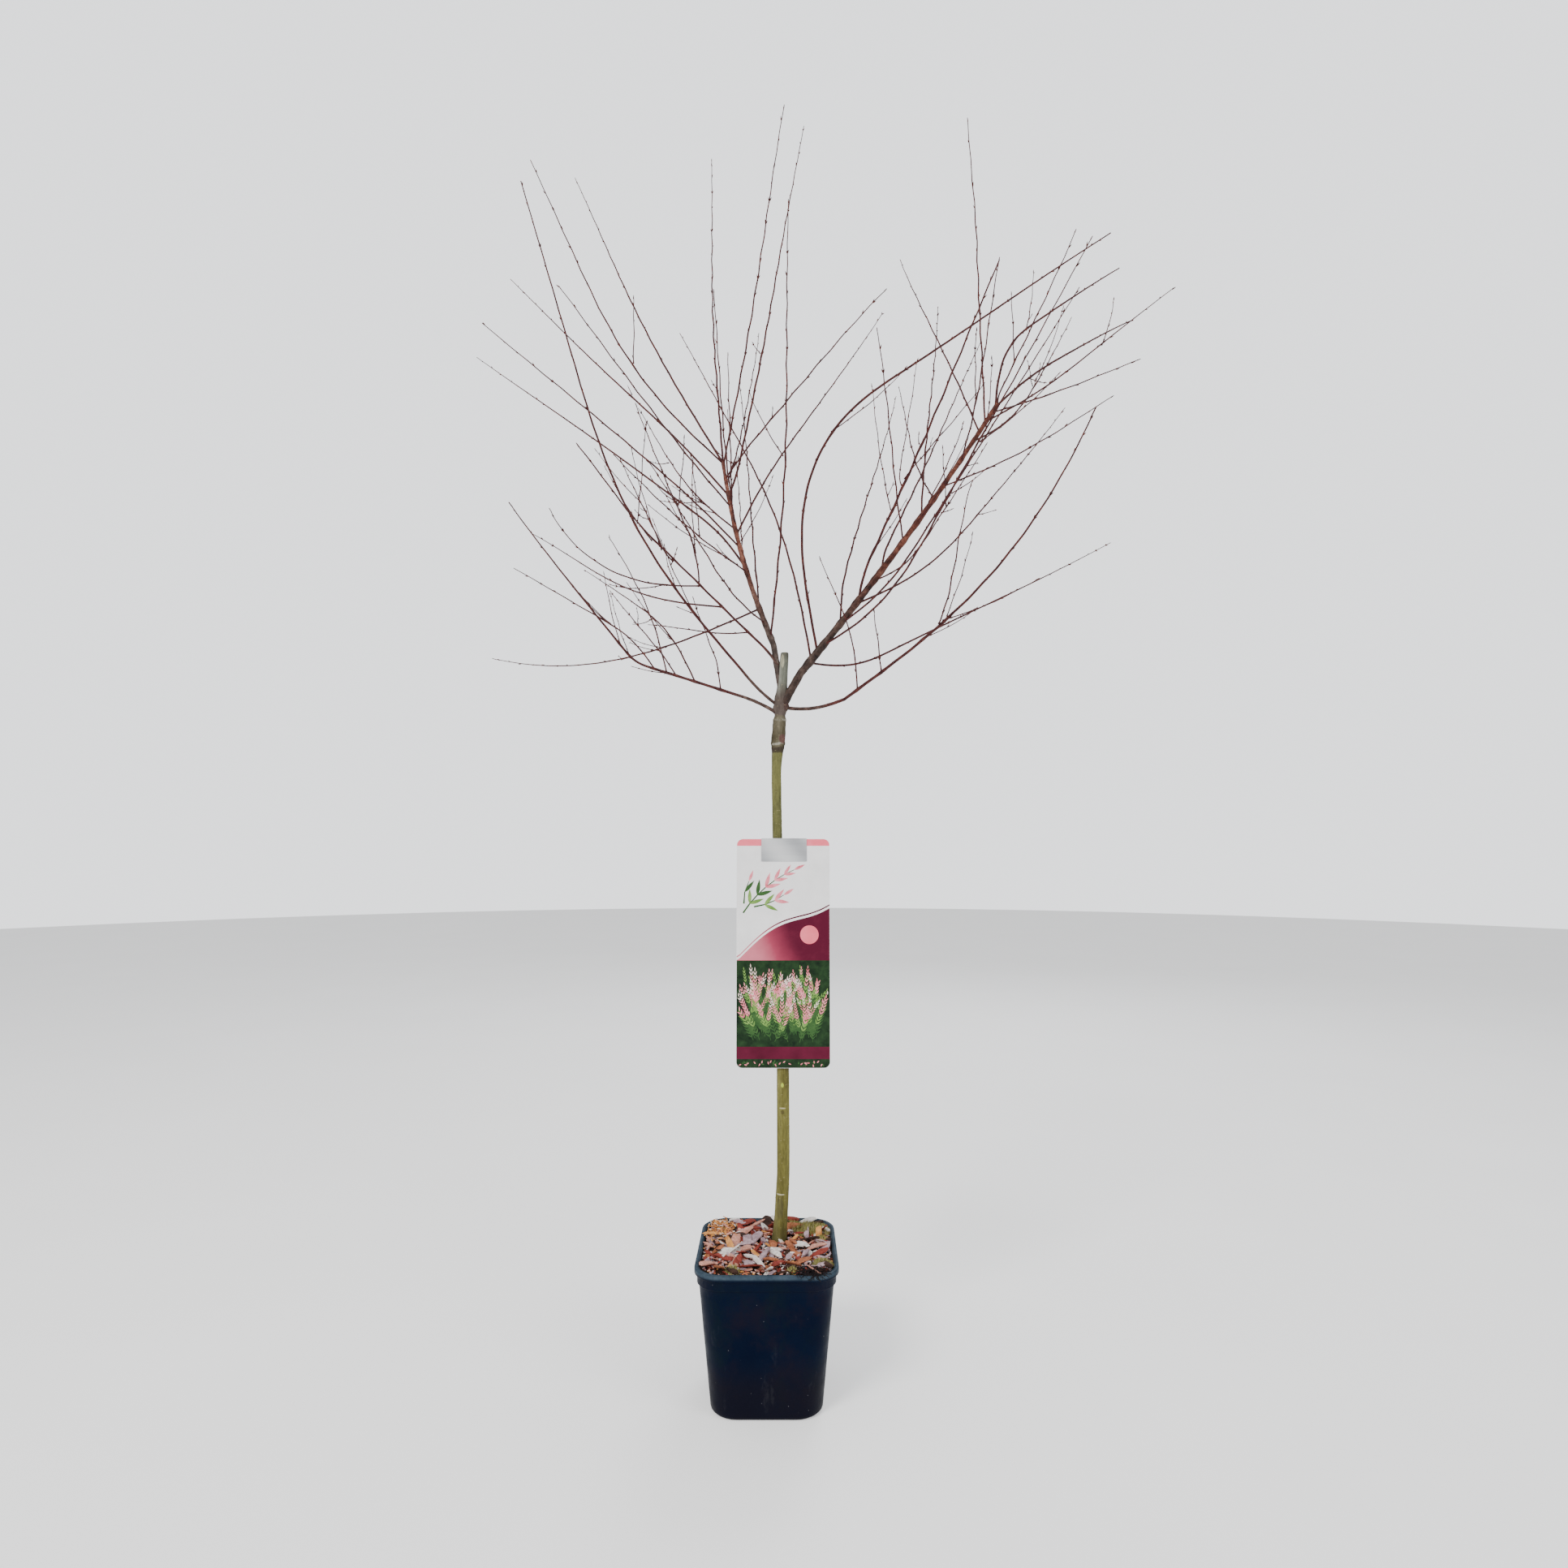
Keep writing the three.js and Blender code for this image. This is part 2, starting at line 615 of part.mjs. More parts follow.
const massList = Object.entries(MASSES).map(([name, mass]) => {
  const bough = boughPaths[mass.bough];
  const start = bough.pointAt(1).addScaledVector(bough.directionAt(1), GAP);
  return { name, mass, limbs: massLimbs(mass, start) };
});
for (const { name, mass, limbs } of massList) {
  const foreign = massList
    .filter((other) => other.name !== name)
    .flatMap((other) => other.limbs.map((limb) => limb.path));
  addSprigs(limbs, mass, [...foreign, ...Object.values(boughPaths)]);
  const solid = joined(limbs.map(({ path, radii, sides, taper }) => limbSolid(path, radii, sides, 0, taper)));
  addPiece(name, mainPiece(solid.subtract(keepClear)), FINISH.twigs);
}

addPiece('plant_label', labelSolid(), FINISH.label);
addPiece('label_clip', clipSolid(), FINISH.clip);
addPiece('label_tie', tieSolid(), FINISH.tie);

export default plant;
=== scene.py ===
from collections import namedtuple
import json
import math

import bpy
import numpy as np
from mathutils import Euler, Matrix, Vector, noise

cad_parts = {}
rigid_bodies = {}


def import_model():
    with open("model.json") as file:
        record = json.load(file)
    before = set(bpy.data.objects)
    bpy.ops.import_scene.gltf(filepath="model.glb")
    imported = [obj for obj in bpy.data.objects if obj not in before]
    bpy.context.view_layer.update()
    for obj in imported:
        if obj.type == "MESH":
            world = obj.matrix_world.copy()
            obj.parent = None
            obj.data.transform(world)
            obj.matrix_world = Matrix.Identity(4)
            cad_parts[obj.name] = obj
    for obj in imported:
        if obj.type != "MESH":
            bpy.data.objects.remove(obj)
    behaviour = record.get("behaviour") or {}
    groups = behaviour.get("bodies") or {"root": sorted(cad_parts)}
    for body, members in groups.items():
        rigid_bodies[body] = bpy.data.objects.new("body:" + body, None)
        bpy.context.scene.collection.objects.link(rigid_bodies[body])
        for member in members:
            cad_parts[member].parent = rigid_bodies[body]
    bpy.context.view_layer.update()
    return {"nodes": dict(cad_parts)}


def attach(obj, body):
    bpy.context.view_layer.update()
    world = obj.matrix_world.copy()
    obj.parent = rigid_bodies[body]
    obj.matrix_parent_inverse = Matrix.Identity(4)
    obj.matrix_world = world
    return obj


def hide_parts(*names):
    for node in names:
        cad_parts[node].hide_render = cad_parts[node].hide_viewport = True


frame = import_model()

# Sizes are in millimetres until a mesh is made; materials and the studio count in metres
MM = 0.001
FULL_TURN = 2 * math.pi
GOLDEN_ANGLE = 137.5
STEM_SEED, CROWN_SEED, LABEL_SEED, MULCH_SEED = 4, 5, 9, 21

# Camera: its place, the angle that it looks up, and its lens on a 36 mm sensor
CAMERA_AT = (20.7, -1206.0, 672.4)
CAMERA_PITCH = 3.78
CAMERA_LENS = 21.43
SENSOR = 36.0

# Pot
POT_HEIGHT = 172.9
POT_FOOT_HALF = 67.5
POT_FLARE = 0.0875
POT_WALL = 1.6
POT_CORNER_RATIO = 0.36
FOOT_CORNER_RATIO = 0.46
RIM_HALF = 86.5
RIM_BOTTOM = 165.8
COLLAR_HALF = 83.4
COLLAR_BOTTOM = 154.0
MULCH_TOP = 170.0

# Stem: height with lean, and height with radius
STEM_Y = 25.0
STEM_TOP = 929.0
FORK = (18.0, STEM_Y, 868.0)
STEM_LEAN = [
    (170.3, 14.4), (182, 15.7), (208, 17.6), (255, 19.9), (380, 19.4), (538, 15.4), (701, 11.6),
    (768, 10.6), (788, 11.4), (803, 12.6), (818, 13.4), (833, 14.2), (843, 15.3), (857, 16.6),
    (876, 17.6), (900, 19.5), (929, 21.6),
]
STEM_RADII = [
    (170.3, 9.8), (182, 8.9), (208, 8.5), (255, 8.3), (380, 8.0), (538, 7.3), (701, 6.3), (768, 6.3),
    (780, 6.6), (790, 7.2), (797, 7.7), (802, 8.9), (807, 9.4), (816, 9.1), (826, 8.8), (836, 9.1),
    (840, 8.5), (844, 7.0), (850, 7.1), (857, 7.6), (866, 7.0), (876, 6.6), (900, 6.1), (924, 5.8),
    (929, 5.4),
]

# Label
LABEL_WIDTH = 121.0
LABEL_HEIGHT = 294.0
LABEL_THICKNESS = 0.7
LABEL_CORNER = 8.0
LABEL_X = 19.6
LABEL_TOP = 681.2
LABEL_BACK_Y = 15.2

# Boughs: x and z of the foot, heading, rise at the foot and the tip, length, radius, how far the foot is sunk
BOUGHS = {
    "left": (16.5, 883, 165, 79, 81, 58, 4.5, 4),
    "upper_left": (12.5, 912, 200, 54, 39, 46, 1.9, 0),
    "right": (20.8, 863, -10, 59, 60, 44, 5.8, 5),
    "low_right": (24, 855, -18, -9, 18, 80, 2.5, 6),
    "long_left": (8.8, 861, 190, 37, 50, 63, 2.1, 6),
    "low_left": (5.5, 852, 172, 32, 22, 39, 2.4, 8),
}

# Place on the parent, heading, rise at foot and tip, length, end and start of the bend, side twigs
Twig = namedtuple("Twig", "at heading rise tip length bend_to bend_from twigs", defaults=(0.5, 0.0, ()))

# Masses of twigs: seed and number of sprigs, radii, and the stem with the long shoots on it, as rows of Twig
MASSES = {
    "left": (152, 14, (4.0, 2.1), (0, 165, 68, 79, 270, 0.85, 0, [
        (0.99, 142, 56, 63, 650, 0.9), (0.99, 217, 28, 58, 425, 0.7), (1.0, 102, 68, 82, 560, 0.9),
        (0.98, 300, 65, 68, 435, 0.4), (0.91, 312, 33, 23, 325, 0.3), (0.88, 80, 46, 62, 400, 0.6),
        (0.82, 50, 64, 76, 655, 0.1), (0.81, 148, 49, 45, 640, 0.4), (0.75, 230, 27, 44, 340, 1.6),
        (0.73, 268, 60, 72, 200, 0.5), (0.66, 265, 36, 55, 290, 0.6), (0.63, 132, 37, 56, 360, 1.0),
        (0.61, 40, 62, 54, 510, 0.4), (0.53, 205, 40, 33, 415, 0.4), (0.47, 96, 35, 55, 300, 0.7),
        (0.42, 152, 55, 38, 670, 0.2), (0.4, 238, 9, 17, 275, 0.7), (0.2, 154, -16, 32, 480, 1.6),
        (0.2, 104, 69, 71, 400, 1.45), (0.12, 243, 9, 30, 300, 0.55), (0.04, 279, 52, 83, 540, 0.6),
    ])),
    "upper_left": (106, 10, (1.6, 0.8), (0, 208, 37, 50, 325, 0.8, 0.5, [
        (0.45, 130, 34, 54, 225, 0.15), (0.31, 250, 82, 36, 245, 0.35), (0.31, 216, -9, 85, 225, 1.6),
        (0.19, 156, 10, 33, 345, 0.75), (0.04, 150, 2, 13, 170, 0.5),
    ])),
    "long_left": (196, 4, (1.8, 0.7), (0, 203, 46, 72, 670, 0.65)),
    "low_left": (234, 11, (2.1, 0.8), (0, 168, 19, 51, 475, 0.4, 0.3, [
        (0.29, 205, 54, 25, 225, 0.45), (0.25, 236, 68, 46, 195, 0.75), (0.22, 136, 50, 42, 215, 0.35),
        (0.16, 138, 57, 32, 330, 0.55), (0.08, 250, 78, 42, 140, 0.45),
    ])),
    "right": (237, 16, (5.1, 2.4), (0, -9, 50, 62, 435, 1.6, 0, [
        (0.99, 44, 41, 33, 495, 0.45), (0.99, 34, 83, 38, 405, 0.4), (1.0, -60, 78, 47, 210, 0.1),
        (0.97, -42, -2, 3, 195, 0.9), (0.94, 8, 30, 40, 335, 0.55), (0.93, 245, 86, 63, 380, 0.8, 0.55),
        (0.9, 120, 64, 63, 370, 0.35), (0.87, 44, 31, 52, 385, 0.55), (0.8, 275, 30, 52, 240, 0.6),
        (0.71, -38, 6, 20, 230, 0.9), (0.66, 98, 40, 60, 300, 0.6), (0.59, 74, 70, 61, 475, 0.15),
        (0.57, 292, 34, 52, 145, 1.6), (0.5, 250, 48, 62, 260, 0.5), (0.39, 53, 78, 54, 555, 0.1),
        (0.36, -45, 6, 46, 225, 0.45), (0.28, -62, 76, 45, 420, 0.15, 0, [
            (0.38, 120, 60, 106, 150, 0.15), (0.3, 230, 67, 86, 155, 1.2), (0.4, 310, 35, 30, 145, 0.3),
        ]),
        (0.27, 30, 26, 48, 540, 0.5), (0.19, -26, 30, 54, 495, 0.3), (0.19, 66, 84, 56, 505, 0.2),
        (0.11, -44, 16, 52, 555, 0.4), (0.08, 20, 101, 38, 930, 0.5, 0.05), (0.05, 140, 78, 59, 605, 0.6),
        (0.04, 29, -2, 27, 635, 0.22),
    ])),
    "low_right": (155, 3, (2.1, 0.8), (0, -36, 28, 64, 455, 1.25, 0, [
        (0.35, 275, 20, 48, 190, 0.6), (0.14, 250, 68, 60, 80, 1.0), (0.05, 160, 88, 66, 190, 0.75),
    ])),
}

# Growth rule, the same as in the solids; a sprig's row holds its place, its spread and its length
SHOOT_BASE_RADIUS = 0.8
SHOOT_RADIUS_PER_MM = 0.00115
SHOOT_TAPER = 1.6
SHOOT_TIP_RADIUS = 0.5
GAP = 0.3
SPRIG = ((0.12, 0.62), (24, 42), (50, 135))
SPRIG_BEND = 12
SPRIG_PARENT = 200
SAMPLE_STEP = 6
SPRIG_CLEARANCE = 5

# Finer growth that only shows here: short spurs, and a bud at every node of a shoot
SPUR = ((0.08, 0.55), (28, 50), (12, 34))
SPUR_BEND = 10
SPUR_PARENT = 120
SPUR_RADII = (0.85, 0.42)
SPURS_PER_MM = 1 / 850
SPUR_SEED_STEP = 100
NODE_SPACING = 24.0
BUD_LENGTH = 5.2
BUD_RADIUS = 0.92
# By rank: share of a limb that is old wood without buds, and how much thinner than its solid it is drawn
BARE_SHARE = (0.34, 0.07, 0.0, 0.0)
FINENESS = (1.0, 1.0, 0.8, 0.8)
# Whips of the right mass that stay stout to their ends: which limb, radii and taper
STOUT_WHIPS = [(25, (1.75, 0.95), 2.4), (1, (1.6, 0.9), 1.6), (2, (1.55, 0.85), 1.6), (17, (1.75, 0.75), 1.6)]


def lerp(a, b, t):
    return a + (b - a) * t


def smooth(t):
    t = np.clip(t, 0.0, 1.0)
    return t * t * (3 - 2 * t)


def bell(x, middle, width):
    return np.exp(-(((x - middle) / width) ** 2))


def unit(rows):
    return rows / (np.linalg.norm(rows, axis=-1, keepdims=True) + 1e-12)


def angles(sides):
    return np.arange(sides) * FULL_TURN / sides


def circle(turns):
    return np.stack([np.cos(turns), np.sin(turns)], axis=-1)


def spokes(u, v, sides):
    """Directions all round, from u towards v; both may hold one row a ring."""
    turn = angles(sides)[:, None]
    return np.cos(turn) * u[..., None, :] + np.sin(turn) * v[..., None, :]


def round_noise(turns, heights, across, along):
    """Noise on a grid round a limb, one row a height and one column an angle."""
    ring = circle(turns) * across
    return np.array([[noise.noise(Vector((x, y, h / along))) for x, y in ring] for h in heights])


def seeded_random(seed):
    state = [seed]

    def draw(low=0.0, high=1.0):
        state[0] = (state[0] * 1664525 + 1013904223) % 4294967296
        return lerp(low, high, state[0] / 4294967296)
    return draw


# Courses of limbs

class Course:
    """Centre line of a limb in the upright plane of its heading, sampled evenly."""

    def __init__(self, start, shape):
        self.shape = shape
        self.length = shape.length
        heading = math.radians(shape.heading)
        self.outward = np.array([math.cos(heading), math.sin(heading), 0.0])
        self.side = np.array([-self.outward[1], self.outward[0], 0.0])
        self.steps = max(8, int(math.floor(self.length / SAMPLE_STEP + 0.5)))
        middle = (np.arange(self.steps) + 0.5) / self.steps
        strides = self.direction(middle) * (self.length / self.steps)
        self.points = np.vstack([start, start + np.cumsum(strides, axis=0)])

    def direction(self, t):
        shape = self.shape
        bend = smooth((np.asarray(t) - shape.bend_from) / (shape.bend_to - shape.bend_from))
        rise = np.radians(lerp(shape.rise, shape.tip, bend))[..., None]
        return np.cos(rise) * self.outward + np.sin(rise) * np.array([0.0, 0.0, 1.0])

    def point(self, t):
        place = np.clip(np.asarray(t, float), 0, 1) * self.steps
        i = np.minimum(place.astype(int), self.steps - 1)
        part = (place - i)[..., None]
        return self.points[i] * (1 - part) + self.points[i + 1] * part


def bough_course(x, z, heading, rise, tip, length, _, sink):
    shape = Twig(0, heading, rise, tip, length + sink, 1.0)
    foot = np.array([x, STEM_Y, z], float)
    return Course(foot - Course(foot, shape).direction(0.0) * sink, shape)


class Limb:
    def __init__(self, course, radii, rank, taper=1.0):
        self.course = course
        self.radii = radii
        self.rank = rank
        self.taper = taper
        self.children = []
        # Set where a bough meets its mass: the last point, and the tilt of the rings there
        self.end = None
        self.mitres = {}


def grow(limbs, parent, course, rank, radii=None):
    """Adds a shoot to its parent; its radii follow the rule unless they are given."""
    rule = (SHOOT_BASE_RADIUS + SHOOT_RADIUS_PER_MM * course.length, SHOOT_TIP_RADIUS)
    parent.children.append(course.shape.at)
    limbs.append(Limb(course, radii or rule, rank, SHOOT_TAPER))
    return limbs[-1]


def mass_limbs(radii, stem, start):
    limbs = [Limb(Course(start, Twig(*stem)), radii, 0)]

    def add_shoots(parent, rank):
        for row in parent.course.shape.twigs:
            shape = Twig(*row)
            course = Course(parent.course.point(shape.at), shape)
            add_shoots(grow(limbs, parent, course, rank), rank + 1)
    add_shoots(limbs[0], 1)
    return limbs


def clear_of(course, others):
    gaps = (np.linalg.norm(course.points[2:, None] - other.points, axis=2).min() for other in others)
    return all(gap > SPRIG_CLEARANCE for gap in gaps)


def side_course(parent, draw, growth, turn, bend):
    """Seeded side shoot that stands off its parent; turn is called for its turn round the parent."""
    places, spreads, lengths = growth
    at = draw(*places)
    spread = math.radians(draw(*spreads))
    turn = math.radians(turn())
    ahead = parent.course.direction(at)
    across = np.cross(ahead, parent.course.side)
    off = math.cos(turn) * parent.course.side + math.sin(turn) * across
    way = math.cos(spread) * ahead + math.sin(spread) * off
    heading, rise = math.degrees(math.atan2(way[1], way[0])), math.degrees(math.asin(way[2]))
    shape = Twig(at, heading, rise, rise + bend, draw(*lengths), 1.0)
    return Course(parent.course.point(at), shape)


def add_sprigs(limbs, seed, count, foreign):
    draw = seeded_random(seed)
    cloud = np.vstack([limb.course.points for limb in limbs])
    low, high = cloud.min(axis=0), cloud.max(axis=0)
    parents = [limb for limb in limbs if limb.course.length > SPRIG_PARENT]
    for i in range(count):
        parent = parents[int(draw(0, len(parents)))]
        course = side_course(parent, draw, SPRIG, lambda: i * GOLDEN_ANGLE, SPRIG_BEND)
        others = foreign + [limb.course for limb in limbs if limb is not parent]
        end = course.point(1.0)
        if np.all((low <= end) & (end <= high)) and clear_of(course, others):
            grow(limbs, parent, course, 2)


def add_spurs(limbs, seed):
    """Finer twigs on the lower halves of the shoots, inside the reach of the mass."""
    draw = seeded_random(seed)
    for parent in [limb for limb in limbs if limb.course.length > SPUR_PARENT]:
        for _ in range(int(parent.course.length * SPURS_PER_MM + draw())):
            course = side_course(parent, draw, SPUR, lambda: draw(0, 360), SPUR_BEND)
            grow(limbs, parent, course, 3, SPUR_RADII)


# Meshes

def ring_faces(rings, sides):
    i, j = np.meshgrid(np.arange(rings - 1), np.arange(sides), indexing="ij")
    a = i * sides + j
    b = i * sides + (j + 1) % sides
    return np.stack([a, b, b + sides, a + sides], axis=-1).reshape(-1, 4)


def add_object(name, data, **values):
    obj = bpy.data.objects.new(name, data)
    bpy.context.scene.collection.objects.link(obj)
    return dressed(obj, **values)


def dressed(thing, **values):
    for key, value in values.items():
        setattr(thing, key, value)
    return thing


class Mesh:
    """Collects vertices and faces in millimetres and makes one piece of them."""

    def __init__(self):
        self.parts = []
        self.count = 0

    def add(self, verts, faces, slot=0):
        self.parts.append((np.asarray(verts, float), np.asarray(faces, int) + self.count, slot))
        self.count += len(verts)

    def more(self, faces, back, slot=0):
        """More faces on the last vertices; back is how many vertices that part had."""
        self.parts.append((np.zeros((0, 3)), np.asarray(faces, int) + self.count - back, slot))

    def loft(self, verts, sides, slot=0, top=True):
        """Stack of rings, closed at the foot and, if asked for, at the top."""
        j = np.arange(sides)
        self.add(verts, ring_faces(len(verts) // sides, sides), slot)
        self.more([j[::-1]], len(verts), slot)
        if top:
            self.more([j], sides, slot)

    def piece(self, name, materials, smooth_faces=True):
        verts, faces, slots = zip(*self.parts)
        verts = np.vstack(verts) * MM
        loops = np.concatenate([rows.ravel() for rows in faces])
        counts = [len(rows) for rows in faces]
        totals = np.repeat([rows.shape[1] for rows in faces], counts)
        mesh = bpy.data.meshes.new(name)
        mesh.vertices.add(len(verts))
        mesh.loops.add(len(loops))
        mesh.polygons.add(len(totals))
        for rows, key, values in (
            (mesh.vertices, "co", verts.ravel()),
            (mesh.loops, "vertex_index", loops),
            (mesh.polygons, "loop_start", np.cumsum(totals) - totals),
            (mesh.polygons, "loop_total", totals),
            (mesh.polygons, "material_index", np.repeat(slots, counts)),
            (mesh.polygons, "use_smooth", np.full(len(totals), smooth_faces)),
        ):
            rows.foreach_set(key, values)
        for material in materials:
            mesh.materials.append(material)
        mesh.update(calc_edges=True)
        mesh.validate()
        obj = add_object(name, mesh)
        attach(obj, "root")
        return obj


def add_tube(mesh, centres, sideways, across, radii, slot=0):
    """Closed tube. Radii hold one row a ring and one column a side, and both ends get a cap."""
    rings, sides = radii.shape
    verts = centres[:, None] + spokes(sideways, across, sides) * radii[..., None]
    verts = np.vstack([verts.reshape(-1, 3), centres[0], centres[-1]])
    mesh.add(verts, ring_faces(rings, sides), slot)
    j = np.arange(sides)
    k = (j + 1) % sides
    last = (rings - 1) * sides
    foot = np.stack([np.full(sides, rings * sides), k, j], axis=-1)
    top = np.stack([np.full(sides, rings * sides + 1), last + j, last + k], axis=-1)
    mesh.more(np.vstack([foot, top]), len(verts), slot)


# Share by which a thin or thick limb widens at its foot, and the radius that parts the two
FLARES = (0.45, 0.12)
THICK_LIMB = 3
# How far from its ends the last rings but one lie, so that shading stays even across a joint
EDGE_RING = 0.08


def add_limb(mesh, limb, rng, sides, ring_spacing, zigzag, relief=0.0, slot=0):
    """Limb with its taper, a swelling at every joint, and a slight turn at every node."""
    course = limb.course
    even = np.linspace(0, 1, max(6, int(course.length / ring_spacing)))
    edge = EDGE_RING / course.length
    t = np.concatenate([[0, edge], even[1:-1], [1 - edge, 1]])
    direction = course.direction(t)
    side = np.repeat(course.side[None], len(t), axis=0)
    across = np.cross(direction, side)
    along = t * course.length
    radius = lerp(limb.radii[0], limb.radii[1], t ** limb.taper) * FINENESS[limb.rank]
    if limb.rank:
        radius = radius * (1 + FLARES[limb.radii[0] >= THICK_LIMB] * bell(along, 0, 2.2 * limb.radii[0]))
    joints = np.zeros(len(t))
    for at in limb.children:
        joints = np.maximum(joints, bell((t - at) * course.length, 0, 6.0))
    radius = radius + joints * np.minimum(0.24 * radius, 0.75)
    fade = np.sin(np.pi * np.clip(t * 1.02, 0, 1)) ** 0.5
    phase = rng.uniform(0, FULL_TURN, 4)
    kink = zigzag * np.arcsin(np.sin(along / (2 * NODE_SPACING) * FULL_TURN + phase[0])) / 1.57
    wave = 2.2 * zigzag * np.sin(along / 95 + phase[1])
    sway = 2.0 * zigzag * np.sin(along / 130 + phase[2])
    centres = course.point(t) + side * ((kink + wave - wave[0]) * fade)[:, None]
    centres = centres + across * ((sway - sway[0]) * fade)[:, None]
    if limb.end is not None:
        centres[-1] = limb.end
    for ring, normal in limb.mitres.items():
        side[ring] = unit(side[ring] - np.dot(side[ring], normal) * normal)
        across[ring] = np.cross(normal, side[ring])
    radii = np.repeat(radius[:, None], sides, axis=1)
    if relief:
        rough = relief * np.clip(np.minimum(along, course.length - along) / 5, 0, 1)
        radii *= 1 + rough[:, None] * round_noise(angles(sides), along + phase[3] * 63, 1.6, 7)
    add_tube(mesh, centres, side, across, radii, slot)
    return centres, direction, side, across, radius


def add_bud(mesh, base, axis, outward, radius, scale):
    """Pointed bud pressed against the shoot, on the side that outward points to."""
    lean = unit(axis * 0.93 + outward * 0.37)
    u = unit(np.cross(lean, outward))
    heights = np.array([0.0, 0.22, 0.5, 0.78, 1.0]) * BUD_LENGTH * scale[0]
    widths = np.array([0.7, 1.0, 0.9, 0.55, 0.1]) * BUD_RADIUS * scale[1]
    centres = base + outward * radius * 0.45 + heights[:, None] * lean
    rings = spokes(u, 0.75 * np.cross(lean, u), 6) * widths[:, None, None]
    mesh.loft((centres[:, None] + rings).reshape(-1, 3), 6)


# Materials

class Shader:
    """Small helper for procedural materials, one method a node."""

    def __init__(self, name, rough=0.6, metal=0.0, specular=0.12):
        self.material = bpy.data.materials.new(name)
        self.material.use_nodes = True
        self.tree = self.material.node_tree
        self.surface = self.tree.nodes["Principled BSDF"]
        self.fill(self.surface, {"Roughness": rough, "Metallic": metal, "Specular IOR Level": specular})
        self.place = self.node("TexCoord", "Object", {})

    def fill(self, node, sockets):
        """Sets sockets to a number, a colour as a tuple or a vector as a list, or links them."""
        for key, value in sockets.items():
            if isinstance(value, bpy.types.NodeSocket):
                self.tree.links.new(value, node.inputs[key])
            else:
                node.inputs[key].default_value = (*value, 1.0) if isinstance(value, tuple) else value

    def node(self, kind, output, sockets, **values):
        made = dressed(self.tree.nodes.new("ShaderNode" + kind), **values)
        self.fill(made, sockets)
        return made.outputs[output]

    def stretched(self, scale):
        return self.node("Mapping", "Vector", {"Scale": list(scale), "Vector": self.place})

    def noise(self, scale, detail, rough, stretch=(1, 1, 1), distortion=0.0):
        sockets = {"Scale": scale, "Detail": detail, "Roughness": rough, "Distortion": distortion}
        return self.node("TexNoise", "Fac", {**sockets, "Vector": self.stretched(stretch)})

    def cells(self, scale, stretch=(1, 1, 1)):
        return self.node("TexVoronoi", "Distance", {"Scale": scale, "Vector": self.stretched(stretch)})

    def ramp(self, value, *stops):
        output = self.node("ValToRGB", "Color", {"Fac": value})
        elements = output.node.color_ramp.elements
        while len(elements) < len(stops):
            elements.new(0.5)
        for element, (position, colour) in zip(elements, stops):
            element.position = position
            element.color = (*colour, 1.0)
        return output

    def mask(self, value, low, high, first=0.0, last=1.0):
        return self.ramp(value, (low, (first,) * 3), (high, (last,) * 3))

    def mix(self, share, a, b, blend="MIX"):
        return self.node("Mix", 2, {0: share, 6: a, 7: b}, data_type="RGBA", blend_type=blend)

    def tint(self, base, mask, share, colour):
        return self.mix(self.times(mask, share), base, colour)

    def math(self, operation, a, b=0.0):
        return self.node("Math", 0, {0: a, 1: b}, operation=operation)

    def times(self, a, b):
        return self.math("MULTIPLY", a, b)

    def plus(self, a, b):
        return self.math("ADD", a, b)

    def axis(self, index):
        return self.node("SeparateXYZ", index, {0: self.place})

    def spot(self, centre, size):
        """Soft mask round a place on the surface, both in millimetres."""
        sockets = {"Location": [-c / r for c, r in zip(centre, size)], "Scale": [1 / (r * MM) for r in size]}
        mapped = self.node("Mapping", "Vector", {**sockets, "Vector": self.place})
        return self.band(self.node("VectorMath", "Value", {0: mapped}, operation="LENGTH"), 1.25, 0.75)

    def band(self, value, low, high):
        sockets = {"Value": value, "From Min": low, "From Max": high}
        return self.node("MapRange", "Result", sockets, interpolation_type="SMOOTHSTEP")

    def done(self, colour, height, strength, distance, **more):
        """Gives the surface its colour and its relief, at a distance in millimetres."""
        bump = {"Strength": strength, "Distance": distance * MM, "Height": height}
        self.fill(self.surface, {"Base Color": colour, "Normal": self.node("Bump", "Normal", bump), **more})
        return self.material


